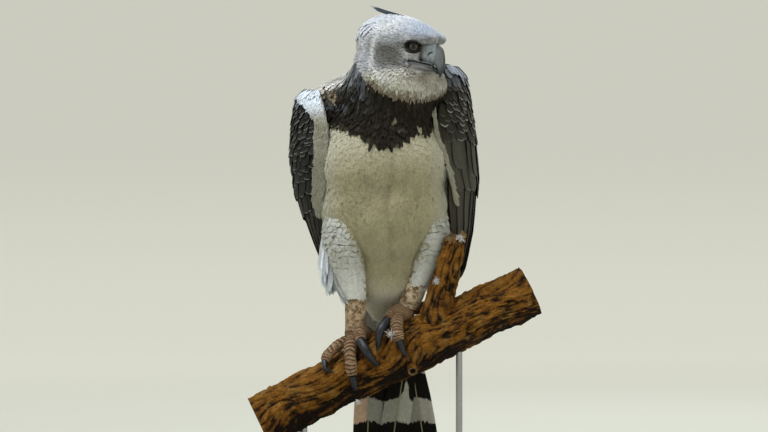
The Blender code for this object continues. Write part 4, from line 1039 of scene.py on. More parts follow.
def thigh_tint(points):
    """Pale, a little cooler than the belly."""
    tint = mixed((0.545, 0.558, 0.535), (0.47, 0.465, 0.415), ease(grain(points, 0.02, 11, 2), -0.2, 0.7))
    return mixed(tint, (0.92, 0.93, 0.92), ease(0.50 - points[..., 2], 0.0, 0.08) * 0.8)


def wing_tint(points, down, across):
    """Soot with slate on the shoulder, umber in the long feathers, and a painted pale sheen on top."""
    wander = grain(points, 0.03, 13, 2)
    tint = mixed(SOOT, SLATE, ease(wander, 0.0, 0.9) * 0.6)
    tint = mixed(tint, UMBER, ease(down, 0.42, 0.55) * ease(wander, -0.6, 0.4) * 0.8)
    # Painted sheen: pale blue-grey at the top of the wing, where light falls on the dark feathers.
    return mixed(tint, (0.30, 0.34, 0.42),
                 ease(0.060 - down, 0.0, 0.035) * ease(0.55 - across, 0.0, 0.2) * 0.85)


# The skin under all the feathers


def wing_core_rings(side):
    """The folded wing as a slab: its outer face sunk by the feathers' depth, and thickest at the arm."""
    down = np.linspace(0.01, 0.90, 60)[:, None]
    across = np.linspace(0.0, 1.0, 60)[None]
    hide = HIDES["wing_" + side]
    row, column = on_net(down, across)
    outer, normal = hide.at(row + 0 * across, column + 0 * down)
    taper = np.interp(down, (0.0, 0.1, 0.5, 1.0), (0.7, 1.0, 0.5, 0.14))
    rim = np.sin(math.pi * (0.08 + 0.84 * across)) ** 0.6
    inner = outer - normal * (ARM_THICKNESS * taper * rim)[..., None]
    outer = outer - normal * 0.001
    return np.concatenate([outer, inner[:, ::-1]], axis=1)


def shoulder_rings(side):
    """A rounded form that fills the hollow under the top of the folded wing: ovals inside the wing's own,
    whose size grows from the top by a quarter circle."""
    down = np.linspace(0.006, 0.170, 30)[:, None]
    turn = circle(56)[None]
    middle_x, half_width, middle_y, half_depth, _, _ = wing_values(side, down)
    share = np.clip((down - 0.006) / 0.050, 0.0, 1.0)
    size = 0.25 + 0.75 * np.sqrt(1 - (1 - share) ** 2)
    x = SIDES[side] * (middle_x + (half_width - CORE_DEPTH - 0.0015) * size * np.cos(turn))
    y = middle_y + (half_depth - CORE_DEPTH - 0.0015) * size * np.sin(turn)
    z = wing_height(side, down) + 0 * turn
    return np.stack([x, y, z], axis=-1)


def tail_core_rings():
    """The root of the tail: a short flat stump, front face then back face."""
    down = np.linspace(0.0, 0.20, 12)[:, None]
    aside = np.linspace(-1.0, 1.0, 24)[None]
    half = TAIL_HALF_WIDTHS[0] * (0.85 + 0.5 * down)
    x = TAIL_ROOT[0] + (TAIL_TIP[0] - TAIL_ROOT[0]) * down + half * aside
    y = TAIL_ROOT[1] + (TAIL_TIP[1] - TAIL_ROOT[1]) * down
    z = TAIL_ROOT[2] + (TAIL_TIP_HEIGHT - TAIL_ROOT[2]) * down + 0 * aside
    thick = (0.0110 - 0.012 * down) * (1 - 0.8 * np.abs(aside) ** 2.5)
    front = np.stack([x, y - thick, z], axis=-1)
    back = np.stack([x, y + thick, z], axis=-1)
    return np.concatenate([front, back[:, ::-1]], axis=1)


def skin_tint(places):
    """The skin's colours: those of the feathers over it, with the thighs and the wings told apart."""
    tint = coat_tint(places)
    on_thigh = (in_thighs(places) < 1.0) & (places[:, 2] < 0.60) & (depth_outside(places) > 0)
    tint = np.where(on_thigh[:, None], thigh_tint(places), tint)
    for side, sign in SIDES.items():
        down = wing_share(side, places[:, 2])
        on_wing = (depth_outside(places) > 0.001) & (places[:, 0] * sign > 0) & ~on_thigh & (down > 0)
        on_wing &= places[:, 2] > 0.42
        _, share = HIDES["wing_" + side].find(places)
        strip = WHITE_STRIPS[side]
        white = on_wing & (share * (1 + WING_FORE) - WING_FORE < strip_reach(side, down))
        white &= (down < strip[-1, 0]) & (down > strip[0, 0] - 0.05)
        tint = np.where(on_wing[:, None], wing_tint(places, down, 0.5), tint)
        tint = np.where(white[:, None], STRIP_SKIN, tint)
    return tint


def bird_skin(material):
    """One skin: body, head, thighs, wing arms and tail root, each sunk by the coat's depth, fused on a fine
    lattice and smoothed, so that no seam shows between them."""
    shapes = []
    for name in ("body", "head", "thigh_left", "thigh_right"):
        hide = HIDES[name]
        shapes.append(capped(hide.points - hide.normals * COAT_DEPTH))
    shapes += [capped(wing_core_rings("left")), capped(shoulder_rings("left"))]
    shapes += [capped(wing_core_rings("right")), capped(tail_core_rings())]
    points, faces = join_shapes(shapes)
    rough = piece("rough_skin", points, faces, material)
    fuse = rough.modifiers.new("fuse", "REMESH")
    fuse.mode = "VOXEL"
    fuse.voxel_size = SKIN_LATTICE
    soften = rough.modifiers.new("soften", "SMOOTH")
    soften.factor = 0.5
    soften.iterations = 4
    bpy.context.view_layer.update()
    mesh = bpy.data.meshes.new_from_object(rough.evaluated_get(bpy.context.evaluated_depsgraph_get()))
    bpy.data.objects.remove(rough)
    mesh.name = "bird_skin"
    mesh.shade_smooth()
    places = np.empty(len(mesh.vertices) * 3, np.float32)
    mesh.vertices.foreach_get("co", places)
    tint = skin_tint(places.reshape(-1, 3).astype(float))
    full = np.concatenate([tint, np.ones((len(tint), 1))], axis=1).astype(np.float32)
    mesh.color_attributes.new("Tint", "FLOAT_COLOR", "POINT").data.foreach_set("color", full.ravel())
    mesh.materials.clear()
    mesh.materials.append(material)
    skin = put("bird_skin", mesh)
    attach(skin, "root")
    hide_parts("head", "neck", "torso", "thigh_left", "thigh_right")


def skin_finish():
    """Downy skin: the tint of the feathers over it, a little darker, with a soft fine bump."""
    finish = Finish("downy_skin", (0.4, 0.4, 0.4), Roughness=0.9)
    cloud = finish.noise(finish.place(), 420.0, 4.0, 0.7)
    finish.colour(finish.scaled(finish.tint(), finish.span(cloud, 0.2, 0.8, 0.55, 0.95)))
    finish.bump(cloud, 0.0012, 0.6)
    return finish.material


# Laying feathers


# Stations along the shafts and the half widths there, for each kind of feather
BODY_SHARES = np.array([0.0, 0.30, 0.62, 0.87, 1.0])
BODY_BLADE = np.array([0.35, 0.85, 1.0, 0.74, 0.16])
SMALL_SHARES = np.array([0.0, 0.38, 0.78, 1.0])
SMALL_BLADE = np.array([0.40, 1.0, 0.80, 0.15])
COVERT_SHARES = np.array([0.0, 0.22, 0.50, 0.74, 0.88, 0.96, 1.0])
COVERT_BLADE = np.array([0.35, 0.82, 1.0, 0.98, 0.80, 0.50, 0.14])
LONG_SHARES = np.array([0.0, 0.08, 0.22, 0.40, 0.58, 0.74, 0.87, 0.95, 1.0])
LONG_BLADE = np.array([0.22, 0.62, 0.86, 0.97, 1.0, 0.97, 0.84, 0.58, 0.14])


def lay(hide, row, column, flow, length, shares, lift, sink, rng, sway=0.15, hold=0.35, curl=1.3):
    """Shaft lines that creep over a hide from their roots.

    Each step goes on along the flow, turned by a random sway, and is drawn back towards the hide by at
    most hold times the step. The height over the hide grows from -sink to lift with the share**curl.
    """
    spot, out = hide.at(row, column)
    way = flow(spot, out)
    way = unit(way - dot(way, out) * out)
    turn = rng.normal(0.0, sway, len(row))[:, None]
    way = way * np.cos(turn) + np.cross(out, way) * np.sin(turn)
    length = np.broadcast_to(length, len(row))[:, None]
    spots, outs, ways = [spot], [out], [way]
    for before, after in zip(shares[:-1], shares[1:]):
        step = length * (after - before)
        spot = spot + way * step
        near, facing = hide.under(spot)
        pull = near - spot
        far = np.linalg.norm(pull, axis=-1, keepdims=True)
        spot = spot + pull * np.minimum(1.0, hold * step / np.maximum(far, 1e-9))
        out = unit(out + facing * 1.5)
        way = unit(way - dot(way, out) * out)
        spots.append(spot)
        outs.append(out)
        ways.append(way)
    line, outs, ways = (np.stack(v, axis=1) for v in (spots, outs, ways))
    lift = np.broadcast_to(lift, len(row))[:, None]
    line = line + outs * (-sink + (lift + sink) * shares[None] ** curl)[..., None]
    return line, outs, np.cross(ways, outs)


def vanes(name, line, outs, across, half, shares, tint, material, bake, columns=3, thick=0.0004,
          camber=0.25, edge=None, lean=0.0, soft=None, replaces=()):
    """Closed feathers: at each station a flat ring from the left edge over the shaft to the right edge and
    back underneath. The vane bends down from the shaft by camber times the square of the share aside, and
    one edge is lowered by lean so that neighbours lie like roof tiles. Where soft is given, the shading
    follows the skin's own outward way, with only that share of the vane's bend, so that the coat looks downy.
    """
    number, stations = line.shape[:2]
    top = np.linspace(-1.0, 1.0, columns)
    around = np.concatenate([top, top[1:-1][::-1]])
    face = np.concatenate([np.ones(columns), -np.ones(columns - 2)])
    face[0] = face[columns - 1] = 0.0
    size = len(around)
    half = np.broadcast_to(half, (number, stations))[..., None]
    height = face * thick / 2 * (1.4 - np.abs(around)) - camber * half * around**2 + lean * half * around
    points = line[:, :, None] + across[:, :, None] * (half * around)[..., None]
    points = points + outs[:, :, None] * height[..., None]
    base = (np.arange(number) * stations * size)[:, None, None]
    ring = base + (np.arange(stations - 1) * size)[None, :, None]
    c = np.arange(size)[None, None]
    d = (c + 1) % size
    quads = np.stack([ring + c, ring + d, ring + size + d, ring + size + c], axis=-1).reshape(-1, 4)
    ends = base[:, :, 0] + np.arange(size)[None]
    caps = np.concatenate([ends[:, ::-1], ends + (stations - 1) * size])
    u = np.broadcast_to((around + 1) / 2, (number, stations, size))
    v = np.broadcast_to(shares[None, :, None], (number, stations, size))
    place = 0.01 + 0.98 * np.stack(bake, axis=-1)[:, None, None]
    patch = place + 0.003 * (np.stack([u, v], axis=-1) - 0.5)
    if tint.ndim == 2:
        tint = np.broadcast_to(tint[:, None], (number, stations, 3))
    tints = tint if tint.ndim == 4 else np.broadcast_to(tint[:, :, None], (number, stations, size, 3))
    sharp, normals = None, None
    if soft is None:
        sharp = np.zeros((number, stations, size), np.int32)
        sharp[..., 0] = 1
        sharp[..., columns - 1] = 2
    else:
        bend = outs[:, :, None] + across[:, :, None] * (2 * camber * soft * around)[:, None]
        bend = unit(bend).reshape(-1, 3)
        side = np.where(np.arange(size) < columns - 1, 1.0, -1.0)
        side = np.broadcast_to(side, (number, stations - 1, size)).reshape(-1, 1, 1)
        capped_ends = bend[caps.ravel()]
        normals = np.concatenate([(bend[quads] * side).reshape(-1, 3), capped_ends])
    numbers = None
    if edge is not None:
        edge = np.asarray(edge)
        numbers = {"Edge": np.broadcast_to(edge if edge.ndim == 3 else edge[:, None, None],
                                           (number, stations, size))}
    return piece(name, points, [quads, caps], material,
                 {"Vane": np.stack([u, v], axis=-1), "OFBake": patch},
                 {"Tint": tints}, numbers, sharp, normals, replaces)


def shaded(tint, shares, rng, root=0.72, tip=1.06, vary=0.07):
    """Each feather's tint along its shaft, from a darker root to a paler tip, each a little different."""
    each = (1.0 + rng.normal(0.0, vary, len(tint)))[:, None, None]
    return tint[:, None] * (root + (tip - root) * shares)[None, :, None] * each


def downward(spot, out):
    """Feathers on the body lie downwards, drawn a little to the middle line."""
    way = np.zeros_like(spot)
    way[..., 2] = -1.0
    way[..., 0] = -0.25 * np.clip(spot[..., 0] / 0.1, -1, 1) * ease(spot[..., 2], 0.36, 0.5)
    return way


# Steps between the roots of the feathers
BODY_PITCH = 0.0064
HEAD_PITCH = 0.0024
THIGH_PITCH = 0.0068

# The two coats of the body: name, slot, length, half width, lift of the tips, power of their rise, how much
# the tints vary, and how much of the vanes' bend the shading shows
BODY_COATS = (
    ("belly_feathers", "white_feather", 0.024, 0.0054, 0.0008, 0.6, 0.03, 0.35),
    ("breast_feathers", "slate_feather", 0.033, 0.0046, 0.0046, 1.3, 0.22, 0.9),
)


def body_feathers(finishes, rng):
    """The breast, belly and back in staggered rows, each feather coloured by where its tip lies: longer and
    looser at the breast band and the neck, small and close on the belly."""
    hide = HIDES["body"]
    row, column = hide.rows_of_roots(lambda _: BODY_PITCH, rng, 0.02, 0.985)
    spot, _ = hide.at(row, column)
    free = (in_thighs(spot) > 0.93) & (above_hood(spot) < 0.006)
    for side, sign in SIDES.items():
        down = wing_share(side, spot[:, 2])
        near, facing = HIDES["wing_" + side].under(spot)
        under = (down > 0.02) & (down < 0.95) & (spot[:, 0] * sign > 0.015) & (spot[:, 1] > 0.02)
        free &= ~(under & (dot(near - spot, facing)[:, 0] > 0.012))
    row, column, spot = row[free], column[free], spot[free]
    dark = body_tint(spot - [0.0, 0.0, 0.024]).mean(axis=1) < 0.13
    for coat, keep, finish in zip(BODY_COATS, (~dark, dark), finishes):
        name, slot, long, wide, up, curl, vary, bend = coat
        r, c, n = row[keep], column[keep], int(keep.sum())
        length = long * rng.uniform(0.80, 1.20, n)
        lift = up * rng.uniform(0.5, 1.4, n)
        line, outs, across = lay(hide, r, c, downward, length, BODY_SHARES, lift, 0.0036, rng, sway=0.20,
                                 curl=curl)
        half = (wide * rng.uniform(0.85, 1.15, n))[:, None] * BODY_BLADE
        tint = body_tint(line[:, 3])
        if name == "breast_feathers":
            shoulder = (spot[keep, 0] < -0.062) & (spot[keep, 2] > 0.775)
            edge = (tint.mean(axis=1) > 0.12) & (above_hood(spot[keep]) < -0.03) & ~shoulder
            tint = np.where(edge[:, None], BAND_TIP, np.minimum(tint, 0.60))
        vanes(name, line, outs, across, half, BODY_SHARES, shaded(tint, BODY_SHARES, rng, 0.90, 1.03, vary),
              finish,
              (c, r), camber=0.12, thick=0.0003, soft=bend)


def head_flow(spot, out):
    """Feathers on the head lie back from the bill, and downwards on the throat and the back of the cheek."""
    forward = head_axes(HEAD_TILT, 0)[0]
    _, aside, height = in_head(spot)
    low = ease(0.885 - height, 0.0, 0.045)[..., None]
    way = -forward * (1.0 - 0.75 * low) + np.array([0.0, 0.0, -1.0]) * (0.10 + 0.95 * low)
    eye = head_place(EYE_PLACE[0], EYE_PLACE[1] * np.sign(aside + 1e-9), EYE_PLACE[2])
    away = spot - eye
    near = bell(np.linalg.norm(away, axis=-1, keepdims=True), 0.022)
    return way + unit(away) * near * 0.6


def head_feathers(soft, rng):
    """Small feathers over the head, smallest at the bill and the eyes, with a low ruff behind the cheek."""
    hide = HIDES["head"]

    def pitch(share):
        return HEAD_PITCH + HEAD_PITCH * min(1.0, share / 0.55)

    row, column = hide.rows_of_roots(pitch, rng, 0.05, 0.97, squeeze=0.9)
    spot, _ = hide.at(row, column)
    along, aside, height = in_head(spot)
    eye_away = np.full(len(spot), 9.0)
    for side, sign in SIDES.items():
        _, level, rise = eye_axes(side)
        away = spot - eye_middle(side)
        oval = np.hypot(away @ level / (LID_OPEN[0] + LID_REACH[0] - 0.001),
                        away @ rise / (LID_OPEN[1] + LID_REACH[1]))
        eye_away = np.where(aside * sign > 0, oval, eye_away)
    table = np.array(BILL_UPPER)
    bill = (along > 0.056) & (np.abs(aside) < np.interp(along, table[:, 0], table[:, 2]) + 0.0012)
    bill &= (height < 0.9055) & (height > 0.8480)
    over_gape = above_gape(along, height)
    gape = (over_gape > -0.0068) & (over_gape < 0.0030)
    gape &= (along > GAPE_RUN[0, 0] - 0.0012) & (np.abs(aside) > 0.008)
    keep = (eye_away > 1.0) & ~bill & ~gape & (above_hood(spot) > 0.004)
    row, column, spot = row[keep], column[keep], spot[keep]
    along, aside, height = in_head(spot)
    size = np.interp(along, (-0.060, 0.020, 0.060, 0.085), (0.0180, 0.0140, 0.0090, 0.0055))
    size = size * (1 + 0.45 * ease(0.862 - height, 0.0, 0.03))
    n = len(row)
    from_cheek = np.hypot(along - CHEEK[0], height - CHEEK[1])
    ruff = bell(from_cheek - 0.052, 0.007) * ease(0.050 - along, 0.0, 0.02)
    hem = ease(0.022 - above_hood(spot), 0.0, 0.022)
    size = size * (1 - 0.20 * hem * rng.uniform(0.0, 2.0, n))
    lift = size * 0.12 * rng.uniform(0.6, 1.4, n) + 0.0018 * ruff + 0.0012 * hem * rng.uniform(0.0, 1.0, n)
    line, outs, across = lay(hide, row, column, head_flow, size * rng.uniform(0.8, 1.2, n), SMALL_SHARES,
                             lift, 0.0030, rng, 0.16)
    half = (size * (0.23 - 0.09 * hem) * rng.uniform(0.8, 1.2, n))[:, None] * SMALL_BLADE
    tint = head_tint(line[:, 2])
    vanes("head_feathers", line, outs, across, half, SMALL_SHARES,
          shaded(tint, SMALL_SHARES, rng, 0.72, 1.06, 0.12),
          soft, (column, row), thick=0.0003, camber=0.3, soft=0.5)


# The crest: angle over the head and aside in degrees, length in degrees, width and rise of the tip
CREST = (
    (95, -8, 50, 0.014, 0.0245), (104, 6, 40, 0.020, 0.008), (108, -24, 42, 0.020, 0.007),
    (110, 22, 42, 0.020, 0.007), (126, -6, 40, 0.022, 0.008), (130, -34, 38, 0.021, 0.007),
    (130, 34, 38, 0.021, 0.007), (132, 14, 38, 0.021, 0.008), (148, -18, 30, 0.022, 0.007),
    (150, 24, 30, 0.022, 0.007), (152, 2, 30, 0.023, 0.008),
)


# Root and tip of the one raised feather
RAISED_FEATHER = ((0.040, -0.062, 0.955), (-0.026, -0.045, 0.981))


def crest_feathers(material, rng):
    """The crest, lying back along the head: each shaft goes over the crown by its own angle and rises to its
    tip, and two shorter ones lie beside each but the raised one."""
    rows = [(over + d, aside + e, length * s, width * 0.70, rise)
            for over, aside, length, width, rise in CREST
            for d, e, s in ((0, 0, 1.0), (-5, 7, 0.80), (3, -7, 0.90))]
    table = np.array(rows[:1] + rows[3:])
    over, aside, length, width, rise = (table[:, k:k + 1] for k in range(5))
    forward, left, up = head_axes(HEAD_TILT, 0)
    shares = COVERT_SHARES[None]
    a, b = np.radians(over + length * shares), np.radians(aside + 0 * shares)
    ways = ((forward * np.cos(a)[..., None] + up * np.sin(a)[..., None]) * np.cos(b)[..., None]
            + left * np.sin(b)[..., None])
    surface = cast(head_place(*HEAD_MIDDLE), ways, HEAD_REACH, len(TORSO_MASSES))
    rise = np.where(np.arange(len(table))[:, None] == 0, rise, rise * 0.35)
    line = surface + ways * (np.where(shares > 0, 0.0016, -0.003) + rise * shares**2)[..., None]
    across = unit(np.cross(np.gradient(line, axis=1), ways))
    root = on_face(np.array(RAISED_FEATHER[0]) - up * 0.05, up)
    tip = np.array(RAISED_FEATHER[1])
    share = COVERT_SHARES[:, None]
    line[0] = root + (tip - root) * share - up * (0.010 * share * (1 - share))
    across[0] = unit(up * 0.80 + np.array([0.0, -0.60, 0.0]) - unit(tip - root) * 0.20)
    ways[0] = unit(np.cross(across[0], unit(tip - root)))
    if ways[0, 0] @ up < 0:
        ways[0] = -ways[0]
    half = width / 2 * COVERT_BLADE[None]
    tint = mixed(head_tint(surface[:, 0]), (0.42, 0.46, 0.54), 0.35 * np.ones(len(table)))
    tint[0] = (0.105, 0.130, 0.175)
    edge = np.clip(rng.uniform(0.0, 0.5, len(table)), 0, 1)
    edge[0] = 1.0
    bake = (np.mod(aside[:, 0] / 360 + 0.5, 1.0), over[:, 0] / 200)
    vanes("crest_feathers", line, ways, across, half, COVERT_SHARES,
          shaded(tint, COVERT_SHARES, rng, 0.85, 1.05, 0.06),
          material, bake, columns=5, camber=0.3, edge=edge)


# The column share of each thigh's outer side, and how many flags hang there
THIGH_OUTER = {"right": 0.46, "left": 0.04}
FLAG_COUNTS = {"right": 190, "left": 80}


def thigh_feathers(side, barred, rng):
    """The feathered thigh: rows from the groin to the ankle, with thin dark bars high up, and looser and
    longer on the outer side."""
    hide = HIDES["thigh_" + side]
    row, column = hide.rows_of_roots(lambda _: THIGH_PITCH, rng, 0.02, 0.985)
    spot, _ = hide.at(row, column)
    keep = depth_outside(spot) > -0.004
    row, column, spot = row[keep], column[keep], spot[keep]
    n = len(row)
    behind = bell(np.mod(column - THIGH_OUTER[side] + 0.5, 1.0) - 0.5, 0.13)
    loose = behind * ease(row, 0.45, 0.62) * ease(0.92 - row, 0.0, 0.08)
    length = (0.022 - 0.008 * ease(row, 0.80, 1.0) + 0.040 * loose) * rng.uniform(0.82, 1.18, n)
    clear = ease(depth_outside(spot), -0.002, 0.010)
    lift = 0.0018 * rng.uniform(0.5, 1.3, n) * clear - 0.0012 * (1 - clear)
    lift = lift + 0.007 * loose * rng.uniform(0.3, 1.0, n)

    def flow(place, facing):
        way = np.zeros_like(place)
        way[..., 2] = -1.0
        return way + facing * 0.10

    line, outs, across = lay(hide, row, column, flow, length, BODY_SHARES, lift, 0.0040, rng, 0.17, 0.30)
    half = (0.0056 * rng.uniform(0.85, 1.15, n) * (1 - 0.25 * ease(row, 0.85, 1.0)))[:, None] * BODY_BLADE
    edge = ease(0.72 - row, 0.0, 0.30) * ease(row, 0.10, 0.22) * rng.uniform(0.7, 1.0, n)
    tint = mixed_arrays(body_tint(spot), thigh_tint(spot),
                        ease(depth_outside(spot) + 0.003 * rng.normal(0, 1, n), -0.002, 0.008))
    tint = mixed(tint, (0.70, 0.74, 0.80), 0.7 * loose)
    vanes("thigh_feathers_" + side, line, outs, across, half, BODY_SHARES,
          shaded(tint, BODY_SHARES, rng, 0.90, 1.04, 0.03), barred, (column, row), edge=edge,
          camber=0.14, soft=0.4)


def thigh_flags(side, soft, rng):
    """Long loose feathers that hang straight down from the outer side of the thigh, in a shaggy point."""
    hide = HIDES["thigh_" + side]
    n = FLAG_COUNTS[side]
    row = rng.uniform(0.28, 0.70, n)
    column = THIGH_OUTER[side] + rng.normal(0.0, 0.050, n)
    spot, out = hide.at(row, np.mod(column, 1.0))
    fall = np.interp(row, (0.28, 0.70), (0.070, 0.044)) * rng.uniform(0.8, 1.08, n)
    shares = BODY_SHARES[None, :, None]
    sway = rng.normal(0.0, 0.07, (n, 3)) - [0.02 * SIDES[side], 0.0, 0.0]
    way = unit(np.array([0.0, 0.0, -1.0]) + sway * [1.0, 1.0, 0.0])
    line = (spot[:, None] + way[:, None] * fall[:, None, None] * shares
            + out[:, None] * (0.004 * shares * (1 - 0.4 * shares) - 0.001))
    outs = np.broadcast_to(unit(out + [0.0, -1.3, 0.5])[:, None], line.shape)
    across = unit(np.cross(np.gradient(line, axis=1), outs))
    half = (0.0034 * rng.uniform(0.7, 1.3, n))[:, None] * BODY_BLADE
    tint = mixed(thigh_tint(spot), (0.80, 0.86, 0.96), rng.uniform(0.2, 1.0, n))
    tint = mixed(tint, (0.36, 0.40, 0.48), ease(rng.uniform(0.0, 1.0, n), 0.5, 1.0) * 0.8)
    vanes("thigh_flags_" + side, line, outs, across, half, BODY_SHARES,
          shaded(tint, BODY_SHARES, rng, 0.70, 1.05, 0.12),
          soft, (np.mod(column, 1.0), row), camber=0.1, soft=0.9)


# Wings

# Rows of wing feathers from the tip up: height shares of the first and last row, number of rows, feathers in
# a row, length, half width, rise of the tips, and how strong the pale tips are
WING_TIERS = {
    "right": (
        ("long", 0.52, 0.52, 1, 15, 0.205, 0.0235, 0.0012, 0.10),
        ("great", 0.36, 0.46, 2, 14, 0.100, 0.0175, 0.0026, 0.40),
        ("middle", 0.24, 0.38, 5, 17, 0.048, 0.0125, 0.0030, 0.70),
        ("small", 0.015, 0.26, 11, 22, 0.031, 0.0090, 0.0030, 0.65),
    ),
    "left": (
        ("long", 0.46, 0.46, 1, 15, 0.225, 0.0235, 0.0012, 0.10),
        ("great", 0.24, 0.33, 2, 13, 0.125, 0.0190, 0.0026, 0.12),
        ("middle", 0.17, 0.24, 3, 17, 0.050, 0.0130, 0.0030, 0.80),
        ("small", 0.015, 0.19, 8, 22, 0.031, 0.0092, 0.0030, 0.85),
    ),
}


# Painted light and shade: how much lighter each wing's dark feathers are drawn than their plain colour, as a
# share; the left wing is drawn lit and the right one in shade
WING_PAINTED_LIGHT = {"left": 2.0, "right": -0.25}
EDGE_COUNTS = {"right": 1700, "left": 520}


def wing_feathers(side, finish, rng):
    """The folded wing in tiers: small coverts on the shoulder, longer ones below, then the long quills, each
    laid down the wing and tilted so that it covers its neighbour towards the back."""
    hide = HIDES["wing_" + side]
    for name, first, last, rows, number, length, half, rise, pale in WING_TIERS[side]:
        down = np.repeat(np.linspace(first, last, rows), number)
        order = np.tile(np.arange(number), rows)
        stagger = np.repeat(np.arange(rows) % 2 * 0.5, number)
        across = 0.03 + 0.93 * (order + stagger) / (number - 0.5)
        loose = 0.0 if name == "long" else 0.010
        down = np.clip(down + rng.uniform(-loose, loose, len(down)), 0.0, 1.0)
        across = across + rng.uniform(-0.3, 0.3, len(down)) / number * (0.3 if name == "long" else 1.0)
        if name in ("small", "middle"):
            strip = WHITE_STRIPS[side]
            clear = (across > strip_reach(side, down) + 0.004) | (down > strip[-1, 0]) | (down < strip[0, 0])
            down, across, order = down[clear], across[clear], order[clear]
        row, column = on_net(down, across)
        spot, _ = hide.at(row, column)
        way = unit(wing_point(side, across, np.minimum(down + 0.02, 1.0)) - wing_point(side, across, down))
        shares = LONG_SHARES if name in ("long", "great") else COVERT_SHARES
        blade = LONG_BLADE if name in ("long", "great") else COVERT_BLADE
        size = length * rng.uniform(0.92, 1.08, len(down)) * (1.0 - 0.12 * np.abs(2 * across - 1.0))
        small = ease(0.10 - down, 0.0, 0.10) * (name == "small")
        size = size * (1 - 0.30 * small)
        stack = 0.0009 * (order - number / 2) if name == "long" else 0.0
        lift = CORE_DEPTH - 0.0030 + rise * rng.uniform(0.7, 1.2, len(down)) + stack
        line, outs, sides = lay(hide, row, column, lambda *_: way, size, shares, lift, 0.0012, rng,
                                sway=0.015 if name == "long" else 0.05, hold=0.5, curl=0.8)
        width = (half * rng.uniform(0.92, 1.08, len(down)) * (1 - 0.25 * small))[:, None] * blade
        tint = wing_tint(spot, down, across)
        # Painted light and shade on the dark feathers: lighter on the left wing, darker on the right.
        painted_light_share = ease(0.10 - tint.mean(axis=1), 0.0, 0.05)[:, None]
        tint = tint * (1 + WING_PAINTED_LIGHT[side] * painted_light_share)
        if name == "great" and side == "left":
            tint = mixed(tint, (0.062, 0.058, 0.045), 0.8 * np.ones(len(tint)))
        if name == "long":
            tint = mixed(tint, (0.070, 0.052, 0.032), (0.5 + 0.5 * np.cos(order * 2.4)) * 0.30)
        edge = np.clip(pale * rng.uniform(0.3, 1.0, len(down)), 0, 1)
        edge = edge * np.where(rng.uniform(0, 1, len(down)) < 0.75, 1.0, 0.25)
        vanes(f"wing_{side}_{name}_feathers", line, outs, sides, width, shares,
              shaded(tint, shares, rng, 0.8, 1.1, 0.10),
              finish, (column, row), columns=5, thick=0.0006, camber=0.10, edge=edge,
              lean=0.11 * (1.0 if side == "left" else -1.0),
              replaces=("wing_" + side,) if name == "long" else ())


def wing_edge_feathers(side, soft, rng):
    """White feathers that line the wing's front edge in a narrow strip, ending in a point lower down, with a
    painted blue-white highlight at the top of the shoulder.
    """
    hide = HIDES["wing_" + side]
    strip = WHITE_STRIPS[side]
    number = EDGE_COUNTS[side]
    down = np.sort(rng.uniform(strip[0, 0], strip[-1, 0], number))
    middle, reach = (np.interp(down, strip[:, 0], strip[:, k]) for k in (1, 2))
    across = middle + np.maximum(reach - 0.008, 0.001) * rng.uniform(-1.0, 1.0, number)
    row, column = on_net(down, across)
    way = unit(wing_point(side, across, down + 0.02) - wing_point(side, across, down))
    length = np.interp(down, (0.0, 0.10, 0.20, 1.0), (0.016, 0.018, 0.024, 0.024))
    length = length * rng.uniform(0.8, 1.2, number)
    lift = CORE_DEPTH + 0.0006 + 0.0010 * rng.uniform(0.0, 1.0, number)
    line, outs, sides = lay(hide, row, column, lambda *_: way, length, BODY_SHARES, lift, 0.001, rng,
                            sway=0.07, hold=0.5, curl=0.7)
    half = (0.0024 * rng.uniform(0.7, 1.3, number))[:, None] * BODY_BLADE
    tint = mixed(np.tile(np.array([0.37, 0.36, 0.30]), (number, 1)), (0.24, 0.23, 0.17),
                 rng.uniform(0, 1, number))
    # Painted highlight: the feathers at the top of the shoulder are drawn blue-white, where light falls on
    # them.
    tint = mixed_arrays(tint, np.tile(np.array([0.80, 0.88, 1.0]), (number, 1)), ease(0.13 - down, 0.0, 0.09))
    vanes(f"wing_{side}_edge_feathers", line, outs, sides, half, BODY_SHARES,
          shaded(tint, BODY_SHARES, rng, 0.88, 1.03, 0.04),
          soft, (column, row), soft=0.4)


# Tail


# Heights over the tail's tip where each pale band starts and stops, and how far its edges are blurred
TAIL_BANDS = ((0.052, 0.086), (0.142, 0.190), (0.246, 0.288), (0.336, 0.370))
BAND_BLUR = 0.0015


